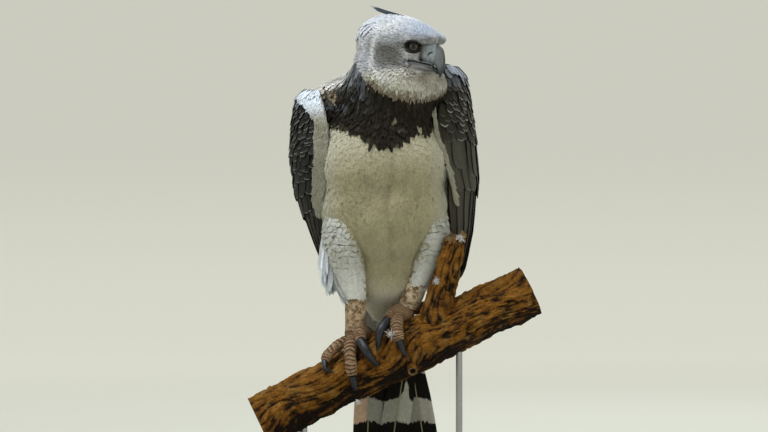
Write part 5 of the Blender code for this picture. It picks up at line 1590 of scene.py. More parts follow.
def tail_finish():
    """Long vanes banded black and grey by height, the bands' edges ragged along the barbs; a pale shaft."""
    finish = Finish("tail_vanes", (0.1, 0.1, 0.1), Roughness=0.7, Specular_IOR_Level=0.1)
    lines, _, aside = barbs(finish, slant=20.0, count=120.0)
    jag = finish.noise(finish.stretched(finish.place(), (260.0, 60.0, 40.0)), 1.0, 3.0, 0.7)
    slanted = finish.sum("MULTIPLY_ADD", aside, 0.016, finish.part(finish.place(), "Z"))
    height = finish.sum("MULTIPLY_ADD", jag, 0.020, slanted)
    height = finish.sum("SUBTRACT", height, finish.sum("ADD", finish.number("Edge"), 0.0140))
    bands = None
    for low, high in TAIL_BANDS:
        start = finish.span(height, low - BAND_BLUR, low + BAND_BLUR)
        stop = finish.span(height, high - BAND_BLUR, high + BAND_BLUR, 1.0, 0.0)
        one = finish.sum("MULTIPLY", start, stop)
        bands = one if bands is None else finish.sum("ADD", bands, one)
    cloud = finish.noise(finish.place(), 140.0, 4.0, 0.7)
    grey = finish.scaled(finish.tint(),
                         finish.sum("MULTIPLY_ADD", lines, 0.15, finish.span(cloud, 0.25, 0.75, 0.80, 1.10)))
    dark = finish.blend(finish.span(cloud, 0.3, 0.8), (0.0035, 0.003, 0.002), (0.010, 0.008, 0.006))
    base = finish.blend(bands, dark, grey)
    finish.colour(finish.blend(finish.span(aside, 0.012, 0.028, 0.85, 0.0), base, (0.300, 0.270, 0.170)))
    finish.bump(finish.sum("MULTIPLY_ADD", lines, 0.8, cloud), 0.0005, 0.5)
    return finish.material


def tail_feathers(material):
    """Twelve long feathers, the middle pair at the back and each outer pair nearer the front."""
    shares = np.concatenate([LONG_SHARES[:-2], [0.93, 0.975, 1.0]])
    k = np.arange(TAIL_FEATHERS)[:, None]
    pair, sign = k // 2, np.where(k % 2 == 1, 1.0, -1.0)
    top_aside = sign * (0.004 + 0.0052 * pair)
    end_aside = sign * (0.009 + (TAIL_HALF_WIDTHS[1] - TAIL_FEATHER_WIDTH / 2 - 0.009) * pair / 5)
    low = TAIL_TIP_HEIGHT + 0.0035 * pair
    top = TAIL_ROOT[2] - 0.030
    fall = shares * (TAIL_ROOT[2] - low - 0.030) / (TAIL_ROOT[2] - TAIL_TIP_HEIGHT) + 0.078
    line = np.stack([
        TAIL_ROOT[0] + (TAIL_TIP[0] - TAIL_ROOT[0]) * fall + top_aside + (end_aside - top_aside) * shares,
        TAIL_ROOT[1] + (TAIL_TIP[1] - TAIL_ROOT[1]) * fall + TAIL_SPACING * (TAIL_FEATHERS / 2 - k),
        top + (low - top) * shares,
    ], axis=-1)
    blade = np.interp(shares, (0.0, 0.15, 0.5, 0.85, 0.93, 0.975, 1.0),
                      (0.20, 0.45, 0.90, 1.0, 0.86, 0.56, 0.14))
    half = np.broadcast_to(TAIL_FEATHER_WIDTH / 2 * blade, (TAIL_FEATHERS, len(shares)))
    outs = np.broadcast_to([0.0, 1.0, 0.0], line.shape)
    across = np.broadcast_to([1.0, 0.0, 0.0], line.shape)
    line[9, :, 0] = np.interp(line[9, :, 2], (0.04, 0.143, 0.239, 0.40), (0.010, 0.0235, 0.0400, 0.052))
    line[9, :, 1] = line[11, :, 1] - 0.0026
    columns = 9
    web = np.concatenate([np.linspace(-1.0, 1.0, columns), np.linspace(-1.0, 1.0, columns)[1:-1][::-1]])
    tint = np.tile(np.array([0.25, 0.25, 0.215]), (TAIL_FEATHERS, len(shares), len(web), 1))
    tint = tint * (1 + 0.15 * grain(line, 0.03, 91, 2))[:, :, None, None]
    outer_left = ease(web, 0.02, 0.10)
    tint[10] = mixed((0.27, 0.27, 0.23), (0.51, 0.355, 0.24), np.broadcast_to(outer_left, tint[10].shape[:2]))
    outer_right = ease(-web, 0.02, 0.10)
    fringe = ease(-web, 0.78, 0.95)
    right = mixed((0.27, 0.26, 0.23), (0.40, 0.385, 0.345), np.broadcast_to(outer_right, tint[11].shape[:2]))
    tint[11] = mixed_arrays(right, np.broadcast_to([0.55, 0.54, 0.48], right.shape),
                            np.broadcast_to(fringe, right.shape[:2]))
    tint[9] = mixed((0.30, 0.30, 0.26), (0.42, 0.42, 0.37),
                    np.broadcast_to(ease(-web, 0.0, 0.1), tint[9].shape[:2]))
    shift = np.zeros((TAIL_FEATHERS, len(shares), len(web)))
    shift[9] = np.clip(line[9, :, 2] - 0.180, 0.0, 0.052)[:, None] * ((web < -0.02) & (web > -0.70))
    order = (np.linspace(0.05, 0.95, TAIL_FEATHERS), np.full(TAIL_FEATHERS, 0.5))
    vanes("tail_feathers", line, outs, -across, half, shares, tint, material, order,
          columns=columns,
          thick=0.0008, camber=0.0, edge=shift, replaces=("tail",))


def tail_coverts(soft, rng):
    """Softer feathers over the root of the tail, pale below, dark above."""
    n = 150
    aside = rng.uniform(-1.0, 1.0, n)
    front = rng.uniform(0, 1, n) < 0.5
    down = rng.uniform(0.0, 0.16, n)
    shares = BODY_SHARES[None]
    length = 0.065 * rng.uniform(0.8, 1.2, n)[:, None]
    root = np.stack([
        TAIL_ROOT[0] + TAIL_HALF_WIDTHS[0] * (0.80 + 0.4 * down) * aside,
        TAIL_ROOT[1] + 0.028 * down + np.where(front, -0.010, 0.011) * (1 - 0.6 * aside**2),
        TAIL_ROOT[2] + 0.012 - 0.385 * down,
    ], axis=-1)[:, None]
    way = np.stack([0.12 * aside + rng.normal(0, 0.06, n), np.where(front, -0.02, 0.03) + 0.07,
                    np.full(n, -1.0)], axis=-1)
    line = root + unit(way)[:, None] * (length * shares)[..., None]
    outs = np.zeros_like(line)
    outs[..., 1] = np.where(front, -1.0, 1.0)[:, None]
    across = unit(np.cross(unit(way)[:, None], outs))
    line = line + outs * (0.0035 * shares)[..., None]
    half = (0.0095 * rng.uniform(0.85, 1.15, n))[:, None] * BODY_BLADE
    tint = (np.where(front[:, None], (0.36, 0.36, 0.34), (0.045, 0.045, 0.048))
            * rng.uniform(0.7, 1.2, n)[:, None])
    vanes("tail_coverts", line, outs, across, half, BODY_SHARES,
          shaded(tint, BODY_SHARES, rng, 0.8, 1.05, 0.05), soft,
          ((aside + 1) / 2, down / 0.4 + 0.5 * front))


# The face: bill, gape, lids and eyes


def bill_rings(table, rings, sides, ridge, belly):
    """Rings of the bill along its middle line: ovals whose upper half narrows to the ridge by a power, and
    whose lower half is squared off by another."""
    values = smooth_line(table, rings)
    path = head_place(values[:, 0], 0.0, values[:, 1])
    left = head_axes(0, 0)[1]
    along = unit(np.gradient(path, axis=0))
    up = unit(np.cross(along, left))
    turn = circle(sides)
    c, s = np.cos(turn), np.sin(turn)
    wide = np.maximum(values[:, 2:3], 0.0008) * np.sign(c) * np.abs(c) ** np.where(s > 0, ridge, belly)
    tall = np.maximum(values[:, 3:4], 0.0008) * np.sign(s) * np.abs(s) ** np.where(s > 0, 1.0, belly)
    sign = 1.0 if (up[:, 2].mean() > 0) else -1.0
    return path, path[:, None] + left * wide[..., None] + sign * up[:, None] * tall[..., None]


def bill_finish():
    """Horn, blue-grey at the cere and black at the hook, with growth lines and a soft gloss."""
    finish = Finish("bill_horn", (0.1, 0.12, 0.15), Roughness=0.38, Coat_Weight=0.15, Coat_Roughness=0.25)
    place = finish.place()
    lines = finish.noise(finish.stretched(place, (300.0, 300.0, 90.0)), 1.0, 4.0, 0.65)
    pits = finish.noise(place, 700.0, 2.0, 0.6)
    finish.colour(finish.scaled(finish.tint(),
                                finish.sum("MULTIPLY_ADD", pits, 0.25,
                                           finish.span(lines, 0.25, 0.75, 0.68, 1.10))))
    finish.rough(finish.span(lines, 0.2, 0.8, 0.30, 0.55))
    finish.bump(finish.sum("MULTIPLY_ADD", pits, 0.5, lines), 0.0005, 0.5)
    return finish.material


# The nostril's middle, along and height in the head, and its slant in degrees
NOSTRIL = (0.0905, 0.8840)
NOSTRIL_SLANT = 34


def bill(material):
    """The cere and hook above, the mandible below, and the nostril sunk as a slanting slit in the cere."""
    path, rings = bill_rings(BILL_UPPER, 170, 120, ridge=1.12, belly=0.80)
    points, faces = capped(rings)
    out = np.zeros_like(points)
    out[:-2] = unit(rings - path[:, None]).reshape(-1, 3)
    along, aside, height = in_head(points)
    slit_along, slit_height = along - NOSTRIL[0], height - NOSTRIL[1]
    c, s = math.cos(math.radians(NOSTRIL_SLANT)), math.sin(math.radians(NOSTRIL_SLANT))
    t = slit_along * c + slit_height * s
    u = -slit_along * s + slit_height * c + 60 * t**2
    far = (t / 0.0056) ** 4
    sides = np.abs(aside) > 0.005
    slit, lip = (np.exp(-far - (u / wide) ** 2) * sides for wide in (0.0014, 0.0030))
    lip = lip - slit
    cere_end = 0.1010 + 0.25 * (height - 0.880) - 18.0 * (height - 0.880) ** 2
    cere = 1 - ease(along, cere_end - 0.0012, cere_end + 0.0012)
    swell = grain(points, 0.0050, 21, 3) * 0.00045
    points = points + out * (0.0007 * cere - 0.0034 * slit + 0.0007 * lip + swell * cere)[:, None]
    hook = ease(0.864 - height, 0.0, 0.022) + ease(along, 0.104, 0.112) * 0.6
    stipple = grain(points, 0.0022, 23, 2)
    tint = mixed((0.165, 0.185, 0.200), (0.330, 0.385, 0.460), np.clip(cere * (0.75 + 0.60 * stipple), 0, 1))
    # Painted highlight: the upper part of the cere is drawn paler and bluer, where light from above falls on
    # it.
    tint = mixed(tint, (0.520, 0.600, 0.720),
                 np.clip(cere * ease(height, 0.884, 0.900) * (0.55 + 0.6 * stipple), 0, 0.8))
    back = ease(0.0890 - along + 0.0035 * stipple, 0.0, 0.0070)
    tint = mixed(tint, mixed((0.360, 0.370, 0.370), (0.160, 0.165, 0.168), ease(stipple, 0.0, 0.6)),
                 back * 0.85)
    tint = mixed(tint, (0.030, 0.033, 0.038), np.clip(hook * (0.85 + 0.3 * stipple), 0, 1) * (1 - 0.5 * cere))
    ridge = (ease(0.0052 - np.abs(aside), 0.0, 0.003) * ease(along, 0.099, 0.107)
             * ease(0.884 - height, 0.0, 0.012))
    tint = mixed(tint, (0.010, 0.012, 0.015), ridge * 0.92)
    tint = mixed(tint, (0.006, 0.006, 0.007), np.clip(slit * 1.3, 0, 1))
    piece("bill_horn_upper", points, faces, material, tints={"Tint": tint},
          replaces=("bill_upper",))
    points, faces = capped(bill_rings(BILL_LOWER, 60, 48, ridge=0.9, belly=1.0)[1])
    along, _, _ = in_head(points)
    tint = mixed((0.075, 0.085, 0.095), (0.018, 0.020, 0.024), ease(along, 0.070, 0.090))
    piece("bill_horn_lower", points, faces, material, tints={"Tint": tint},
          replaces=("bill_lower",))


def on_face(starts, way, rounds=14):
    """Points of the head's hide on lines through the starts: each round drops to the hide and steps back to
    the line by the miss across it."""
    spots = starts + way * 0.045
    for _ in range(rounds):
        near, _ = HIDES["head"].under(spots)
        miss = near - starts
        miss = miss - dot(miss, way) * way
        spots = near - miss
    return near


# The two bands of the mouth: name, how far sunk into the face, how far below the mouth's line, and the shares
# and half heights of the band
GAPE_BANDS = (
    ("line", 0.0033, 0.0, (0.0, 0.05, 0.16, 0.5, 0.85, 1.0),
     (0.0008, 0.0028, 0.0026, 0.0019, 0.0022, 0.0014)),
    ("lip", 0.0044, 0.0034, (0.0, 0.08, 0.3, 0.7, 1.0), (0.0008, 0.0026, 0.0028, 0.0022, 0.0010)),
)


def gape(lip, dark):
    """The mouth on each side: a dark crease over a grey lip, both flat bands that reach into the head."""
    run = smooth_line(GAPE_RUN, GAPE_POINTS)
    middle = head_place(run[:, 0], 0.0, run[:, 2])
    for side, sign in SIDES.items():
        out = head_axes(0, 0)[1] * sign
        reach = dot(on_face(middle, out) - middle, out)[:, 0]
        reach = np.clip(reach, run[:, 1], run[:, 1] + 0.014)
        reach = np.convolve(np.pad(reach, 3, mode="edge"), np.ones(7) / 7, mode="valid")
        line = middle + out * reach[:, None]
        for (name, sunk, below, shares, heights), material in zip(GAPE_BANDS, (dark, lip)):
            size = np.interp(np.linspace(0.0, 1.0, GAPE_POINTS), shares, heights)
            path = line - out * sunk - [0.0, 0.0, below]
            points, faces = capped(tube(path, 0.0042 + 0 * size, size, 16, (0, 0, 1)))
            piece(f"gape_{name}_{side}", points, faces, material)


def eye_middle(side):
    return head_place(EYE_PLACE[0], SIDES[side] * EYE_PLACE[1], EYE_PLACE[2])


def eye_axes(side):
    """The eye's own outward, forward and upward ways, looking out and a little forward."""
    sign = SIDES[side]
    forward, left, up = head_axes(12, 0)
    outward = unit(left * sign * 0.86 + forward * 0.50)
    level = unit(np.cross(up, outward)) * sign
    return outward, level, np.cross(outward, level) * sign


def eye_finish():
    """Pupil, iris and dark rim as rings by the angle from the eye's axis, under a clear wet coat."""
    finish = Finish("eye_ball", (0.1, 0.08, 0.06), Roughness=0.4, Coat_Weight=0.5, Coat_Roughness=0.03,
                    Coat_IOR=1.38, Specular_IOR_Level=0.2)
    angle = finish.part(finish.map("Eye"), "Y")
    spokes = finish.noise(finish.stretched(finish.map("Eye"), (46.0, 3.0, 1.0)), 1.0, 3.0, 0.6)
    iris = finish.blend(finish.span(spokes, 0.25, 0.75), (0.040, 0.029, 0.021), (0.105, 0.080, 0.060))
    iris = finish.blend(finish.span(angle, 0.150, 0.215, 0.35, 0.0), iris, (0.120, 0.098, 0.078))
    inner = finish.blend(finish.span(angle, 0.128, 0.142), (0.002, 0.002, 0.002), iris)
    rim = finish.blend(finish.span(angle, 0.222, 0.262), inner, (0.006, 0.005, 0.005))
    finish.colour(rim)
    return finish.material


def eye_ball(side, material):
    """A ball with a slightly raised cornea, its rings counted by the angle from the outward axis."""
    outward, level, rise = eye_axes(side)
    middle = eye_middle(side)
    angle = np.linspace(0.004, math.pi - 0.004, EYE_NET[0])[:, None]
    turn = circle(EYE_NET[1])[None]
    radius = (EYE_RADIUS - 0.0012) * (1 + 0.075 * bell(angle, 0.62))
    local = ball_ways(angle, turn)
    points, faces = capped(middle + radius[..., None] * (local @ np.array([outward, level, rise])))
    u = np.broadcast_to(0.5 + 0.5 * np.cos(turn), EYE_NET)
    v = np.broadcast_to(angle / math.pi, EYE_NET)
    piece(f"eye_ball_{side}", points, faces, material, maps={"Eye": capped_map(u, v)},
          replaces=("eye_" + side,))


# Half length and half height of the opening of the lids, and how far the bare rim reaches round it; the
# rim's dark band is partly bare skin and partly painted shade, the shadow round the eye under the brow
LID_OPEN = (0.0098, 0.0076)
LID_REACH = (0.0070, 0.0058)


def lids(side, material):
    """The bare rim of the eye: an oval band whose inner edge lies on the ball and whose outer edge lies on
    the face, with a rounded lip at the ball and a flat upper lid, drawn to a point in front. The dark band is
    partly bare skin and partly painted shade, reaching wide to stand for the shadow under the brow."""
    outward, level, rise = eye_axes(side)
    middle = eye_middle(side)
    turn = circle(LID_NET[1])[None]
    share = np.linspace(0.0, 1.0, LID_NET[0])[:, None]
    c, s = np.cos(turn), np.sin(turn)
    wide = LID_OPEN[0] * (1 + 0.16 * np.clip(c, 0, 1) ** 4) + LID_REACH[0] * share
    tall = LID_OPEN[1] * np.where(s > 0, 0.90, 1.0) + LID_REACH[1] * share
    x, y = wide * c, tall * s * (1 - 0.10 * np.clip(s, 0, 1) * (1 - np.abs(c)))
    flat = middle + level * x[..., None] + rise * y[..., None]
    face = on_face(flat, outward)
    at_rim = ((face - flat) * outward).sum(axis=-1) + 0.0010
    on_ball = np.sqrt(np.maximum((EYE_RADIUS + 0.0002) ** 2 - x**2 - y**2, 1e-6)) + 0.0004
    fold = 0.0011 * bell(share - 0.16, 0.12) * (1 + 0.7 * np.clip(s, 0, 1))
    out = on_ball * (1 - ease(share, 0.05, 0.75)) + at_rim * ease(share, 0.05, 0.75) + fold
    out = out - 0.0020 * ease(share, 0.92, 1.0) - 0.0012 * ease(0.05 - share, 0.0, 0.05)
    top = flat + outward * out[..., None]
    rings = np.transpose(np.concatenate([top, (top - outward * 0.0030)[::-1]], axis=0), (1, 0, 2))
    rows, columns = rings.shape[:2]
    r = np.arange(rows)[:, None]
    q = (r + 1) % rows
    k = np.arange(columns)[None]
    d = (k + 1) % columns
    quads = np.stack([r * columns + k, r * columns + d, q * columns + d, q * columns + k],
                     axis=-1).reshape(-1, 4)
    points = rings.reshape(-1, 3)
    a, b, e = points[quads[8, 0]], points[quads[8, 1]], points[quads[8, 2]]
    if np.dot(np.cross(b - a, e - a), outward) < 0:
        quads = quads[:, ::-1]
    piece(f"lids_{side}", points, [quads], material)


def dark_skin_finish():
    """Bare dark skin of the lids and lips: near black and finely wrinkled."""
    finish = Finish("dark_face_skin", (0.012, 0.012, 0.013), Roughness=0.62, Specular_IOR_Level=0.25)
    cloud = finish.noise(finish.place(), 900.0, 4.0, 0.65)
    finish.colour(finish.blend(finish.span(cloud, 0.3, 0.75), (0.006, 0.006, 0.007), (0.022, 0.022, 0.024)))
    finish.bump(cloud, 0.0004, 0.6)
    return finish.material


def lip_finish():
    """Grey skin of the gape's lips."""
    finish = Finish("gape_skin", (0.14, 0.15, 0.16), Roughness=0.5)
    cloud = finish.noise(finish.place(), 800.0, 4.0, 0.65)
    finish.colour(finish.blend(finish.span(cloud, 0.3, 0.75), (0.10, 0.11, 0.125), (0.22, 0.23, 0.24)))
    finish.bump(cloud, 0.0004, 0.5)
    return finish.material


# Feet


def branch_line(count):
    run = smooth_line(BRANCH_RUN, count)
    return np.stack([run[:, 0], -0.012 * np.sin(run[:, 0] * 9.0), run[:, 1]], axis=-1)


def on_branch(side, place):
    """World point of a place given round the branch from a foot's middle."""
    along, angle, over = place
    run = branch_line(200)
    x = FOOT_MIDDLES[side][0] + along * 0.9
    line = np.array([np.interp(x, run[:, 0], run[:, k]) for k in range(3)])
    slope = unit(np.array([np.interp(x + 0.01, run[:, 0], run[:, k]) for k in range(3)]) - line)
    up = unit(np.cross(slope, [0.0, -1.0, 0.0])) * -1.0
    front = np.cross(slope, up)
    if front[1] > 0:
        front = -front
    outward = up * math.cos(math.radians(angle)) + front * math.sin(math.radians(angle))
    return line + outward * (BRANCH_RADIUS * 1.01 + over), outward


def toe_line(side, places, count):
    points, outs = zip(*(on_branch(side, p) for p in places))
    return smooth_line(points, count), unit(smooth_line(outs, count))


# How many scutes lie in a row on each toe, and the colours of the skin
SCUTES = {"outer": 9, "middle": 12, "inner": 7, "hind": 9}
FURROW = (0.048, 0.020, 0.008)
TOE_TAN = (0.170, 0.090, 0.042)
WORN_CREAM = (0.510, 0.375, 0.235)
# The shank's cream, drawn paler on the left shank as painted light, where the lamps leave that shank in shade.
SHANK_CREAM_AND_PAINTED_LIGHT = {"right": (0.80, 0.62, 0.41), "left": (0.98, 0.84, 0.62)}


def scute_row(share, count, wander):
    """Pillows in a row along a toe from 0 to 1: each rises steeply, is flat on top and drops to a furrow."""
    part = np.mod(share * count + wander, 1.0)
    return (0.45 + 0.55 * part) * (1.0 - np.abs(2 * part - 1.0) ** 5)


def scaly_tint(points, height, strength, pale):
    """Brown in the furrows, tan on the flanks and worn cream on the crowns, by the height of the relief."""
    cloud = grain(points, 0.009, 83, 2)
    speck = grain(points, 0.0022, 85, 2)
    tint = mixed(TOE_TAN, (0.290, 0.175, 0.095), ease(cloud, -0.2, 0.7))
    crown = ease(height, 0.66, 0.96) * pale * (0.80 + 0.8 * speck)
    tint = mixed(tint, WORN_CREAM, np.clip(crown, 0, 1))
    return mixed(tint, FURROW, np.clip(ease(0.58 - height, 0.0, 0.36) * strength, 0, 1))


def toe_shape(side, toe):
    """A toe: a tube with a row of scutes across its top, beads on its flanks, and rounded pads below."""
    path, out = toe_line(side, FEET[side][toe][0], TOE_NET[0])
    share = np.linspace(0.0, 1.0, TOE_NET[0])[:, None]
    turn = circle(TOE_NET[1])[None]
    plain = TOE_RADIUS * (1.10 - 0.20 * share) * (0.92 if toe == "outer" else 1.0)
    plain = plain * (1 - 0.16 * ease(share, 0.93, 1.0)) * (0.8 + 0.2 * ease(share, 0.0, 0.1))
    plain = plain * (1 + 0.05 * np.cos(share * 5 * math.pi))
    top = ease(np.sin(turn), 0.05, 0.40)
    bottom = ease(-np.sin(turn), 0.2, 0.7)
    wander = 0.22 * np.sin(turn * 2 + share * 9) + 0.10 * np.sin(share * 31)
    rows = scute_row(share, SCUTES[toe], wander)
    slant = share * SCUTES[toe] * 3.0
    beads = np.abs(np.sin(1.26 * slant + turn * 3.5) * np.sin(turn * 7 - slant)) ** 0.5
    pads = np.abs(np.sin(share * math.pi * 3.2 + 0.4)) ** 0.5
    side_share = np.clip(1 - top - bottom, 0, 1)
    height = rows * top + (0.35 + 0.65 * beads) * side_share + pads * bottom
    relief = 0.210 * (rows - 0.6) * top + 0.110 * (beads - 0.5) * side_share + 0.13 * (pads - 0.6) * bottom
    size = plain * (1 + relief)
    rings = tube(path, size, size * 0.97, TOE_NET[1], out)
    tint = scaly_tint(rings, height, 0.95 * top + 0.6 * side_share + 0.4 * bottom,
                      top * 0.95 + 0.35 * side_share)
    return rings, tint


def shank_shape(side):
    """The shank: a tube with plates on its lower part and small round scales above them."""
    path = smooth_line(TARSI[side], SHANK_NET[0])
    share = np.linspace(0.0, 1.0, SHANK_NET[0])[:, None]
    turn = circle(SHANK_NET[1])[None]
    low = ease(share, 0.45, 0.75)
    plates = scute_row(share, 11, 0.25 * np.sin(turn * 3) + 0.1 * np.sin(turn * 7))
    beads = np.abs(np.sin(share * 30 + turn * 8) * np.sin(turn * 8 - share * 30)) ** 0.5
    height = plates * low + (0.30 + 0.70 * beads) * (1 - low)
    size = (TARSUS_RADIUS
            * (1 + 0.055 * (plates - 0.6) * low + 0.030 * (beads - 0.5) * (1 - low)
               + 0.03 * np.sin(turn * 2 + share * 5)))
    rings = tube(path, size, size * 1.04, SHANK_NET[1], (0, -1, 0))
    tint = scaly_tint(rings, height, 0.8 * low + 0.45 * (1 - low), 0.45 + 0.25 * low)
    mottle = ease(grain(rings, 0.006, 89, 3), -0.45, 0.35)
    return rings, mixed_arrays(tint, np.broadcast_to(SHANK_CREAM_AND_PAINTED_LIGHT[side], tint.shape),
                               (0.84 - 0.34 * low) * mottle)


def pad_shape(side):
    """The ball of the foot: a rounded form covered in round scales."""
    middle, _ = on_branch(side, (0.0 if side == "right" else -0.010, 0, 0.016))
    angle = np.linspace(0.04, math.pi - 0.04, PAD_NET[0])[:, None]
    turn = circle(PAD_NET[1])[None]
    beads = np.abs(np.sin(angle * 20 + turn * 5) * np.sin(turn * 9 - angle * 14)) ** 0.5
    ball = ball_ways(angle, turn) * (1 + 0.045 * (beads - 0.5))[..., None]
    rings = middle + ball * np.array([0.0265, 0.0245, 0.0205])
    return rings, scaly_tint(rings, 0.3 + 0.7 * beads, 0.6, 0.55)


def leg_finish():
    """Scaly skin: its own tint, broken up by tiny round scales, dry and a little worn."""
    finish = Finish("leg_scutes", (0.40, 0.29, 0.17), Roughness=0.6, Specular_IOR_Level=0.3)
    place = finish.place()
    cloud = finish.noise(place, 160.0, 4.0, 0.65)
    small = finish.cells(place, 560.0)
    share = finish.sum("MULTIPLY", finish.span(small, 0.0, 0.16, 0.70, 1.0),
                       finish.span(cloud, 0.25, 0.75, 0.78, 1.15))
    finish.colour(finish.scaled(finish.tint(), share))
    finish.rough(finish.span(cloud, 0.2, 0.8, 0.50, 0.75))
    finish.bump(small, 0.0010, 0.6, finish.bump(cloud, 0.0008, 0.4))
    return finish.material


def leg(side, material):
    """Shank, ball and toes, each with its own relief and the tint that goes with it."""
    shapes, tints = [], []
    for rings, tint in [pad_shape(side), shank_shape(side)] + [toe_shape(side, toe) for toe in FEET[side]]:
        shapes.append(capped(rings))
        tints += [tint.reshape(-1, 3), tint[0].mean(axis=0)[None], tint[-1].mean(axis=0)[None]]
    points, faces = join_shapes(shapes)
    piece("leg_" + side, points, faces, material, tints={"Tint": np.concatenate(tints)},
          replaces=("foot_" + side, "tarsus_" + side))


def claw_finish():
    """Black horn with a blue cast, fine lines along the claw, a worn paler point, and a deep gloss."""
    finish = Finish("claw_horn", (0.02, 0.022, 0.028), Roughness=0.34, Coat_Weight=0.10, Coat_Roughness=0.30,
                    Specular_IOR_Level=0.35)
    place = finish.map("Claw")
    lines = finish.noise(finish.stretched(place, (26.0, 3.0, 1.0)), 1.0, 4.0, 0.6)
    base = finish.blend(finish.span(lines, 0.40, 0.80), (0.005, 0.006, 0.008), (0.028, 0.033, 0.043))
    point = finish.span(finish.part(place, "Y"), 0.72, 1.0, 0.0, 0.5)
    finish.colour(finish.blend(point, base, (0.16, 0.15, 0.13)))
    finish.rough(finish.span(lines, 0.3, 0.8, 0.18, 0.42))
    pits = finish.noise(finish.place(), 420.0, 3.0, 0.6)
    finish.bump(finish.sum("MULTIPLY_ADD", pits, 0.8, lines), 0.0012, 0.6)
    return finish.material


def claws(side, material):
    """Hooked claws: tubes that taper by a power of the share, flatter below than above."""
    for toe, (toe_places, claw_places) in FEET[side].items():
        path, out = toe_line(side, (toe_places[-1], *claw_places[1:]), CLAW_NET[0])
        share = np.linspace(0.0, 1.0, CLAW_NET[0])
        size = CLAW_BASE_RADIUS * CLAW_SIZE[toe] * (1 - 0.12 * share - share**2.2 * 0.84)
        turn = circle(CLAW_NET[1])
        tall = size[:, None] * np.where(np.sin(turn) > 0, 1.0, 0.86)[None]
        points, faces = capped(tube(path, size * 0.90, tall, CLAW_NET[1], out))
        u = np.broadcast_to(0.5 + 0.5 * np.cos(turn), CLAW_NET)
        v = np.broadcast_to(share[:, None], CLAW_NET)
        piece(f"claw_horn_{side}_{toe}", points, faces, material, maps={"Claw": capped_map(u, v)},
              replaces=(f"claw_{side}_{toe}",))


# The branch


def knots_of_bark(length, turn):
    """Low swellings and ridges along and round a branch, as a share of its radius."""
    return (
        0.035 * np.sin(3 * turn + 9 * length)
        + 0.025 * np.sin(5 * turn - 14 * length + 1.0)
        + 0.030 * np.sin(23 * length + 2 * turn)
        + 0.020 * np.sin(8 * turn + 31 * length)
    )


def furrows(length, turn, radius, seed):
    """Weathered wood from 0 in the cracks to 1 on the strands: rounded strands that run along the branch and
    wander round it, where the noise's crossings of nothing are the cracks, with finer strands upon them."""
    wander = 0.45 * np.sin(length * 7 + 1.0) + 0.22 * np.sin(length * 19 + 2 * turn)
    wander = wander + 0.10 * np.sin(length * 43 + turn)
    x = np.cos(turn + wander) * radius
    y = np.sin(turn + wander) * radius
    along = length + 0 * turn
    coarse = grain(np.stack([x, y, along * 0.22], axis=-1), 0.0105, seed, 2)
    middle = grain(np.stack([x, y, along * 0.30], axis=-1), 0.0052, seed + 5, 2)
    fine = grain(np.stack([x, y, along * 0.30], axis=-1), 0.0026, seed + 7, 2)
    chips = grain(np.stack([x, y, along], axis=-1), 0.014, seed + 9, 3)
    strands = np.abs(coarse) ** 0.55 * 0.62 + np.abs(middle) ** 0.6 * 0.38 + np.abs(fine) ** 0.6 * 0.16
    return np.clip(strands + 0.30 * chips, -0.2, 1.1)


# The relief value of sawn wood, above all relief of bark
SAWN = 2.0


def wood_tube(name, path, radius, columns, ridges, material, replaces, seed, depth, top=None, hollow=0.0):
    """A barky tube: the solids' own swellings, and furrows cut inwards, closed by flat ends."""
    path = np.asarray(path)
    along = unit(np.gradient(path, axis=0))
    across = unit(np.cross(along, [0.0, -1.0, 0.0]))
    front = np.cross(across, along)
    length = np.concatenate([[0.0], np.cumsum(np.linalg.norm(np.diff(path, axis=0), axis=1))])[:, None]
    turn = circle(columns)[None]
    cut = furrows(length, turn, float(np.mean(radius)), seed)
    # Painted shade: the share of the underside, which lowers the relief number so that the underside is drawn
    # darker.
    under = ease(-(across[:, None, 2] * np.cos(turn) + front[:, None, 2] * np.sin(turn)), 0.15, 0.90)
    size = np.broadcast_to(radius, len(path))[:, None] * (1 + ridges * knots_of_bark(length, turn))
    size = size + depth * (cut - 0.62)
    spots = path[:, None] + across[:, None] * (size * np.cos(turn))[..., None]
    spots = spots + front[:, None] * (size * np.sin(turn))[..., None]
    if top is not None:
        spots = top(spots, turn, length, along)
    steps = np.linspace(0.0, 1.0, 26)[1:-1, None]
    inward = steps[..., None]
    sunk = along[-1] * hollow * ease(inward, 0.30, 0.42)
    first, last = (ring[None] * (1 - inward) + ring.mean(axis=0) * inward - sunk
                   for ring in (spots[0], spots[-1]))
    rings = np.concatenate([first[::-1], spots, last])
    points, faces = capped(rings)
    pith = 0.0 if hollow else SAWN
    whole = np.ones((1, columns))
    # The relief number that colours the wood: the depth of the cracks, lowered on the underside as painted
    # shade.
    relief = [SAWN + 0 * steps * whole, cut - 0.34 * under, np.where(steps > 0.36, pith, SAWN) * whole]
    relief = np.concatenate([np.concatenate(relief).ravel(), [SAWN, pith]])
    core = np.concatenate([steps[::-1] * whole, np.zeros_like(cut), steps * whole])
    core = np.concatenate([core.ravel(), [1.0, 1.0]])
    u = np.broadcast_to(turn / (2 * math.pi), (len(rings), columns))
    v = np.broadcast_to(np.concatenate([0 * steps, length, 0 * steps + length[-1]]), u.shape)
    piece(name, points, faces, material, maps={"Wood": capped_map(u, v)},
          numbers={"Relief": relief, "Core": core}, replaces=replaces)


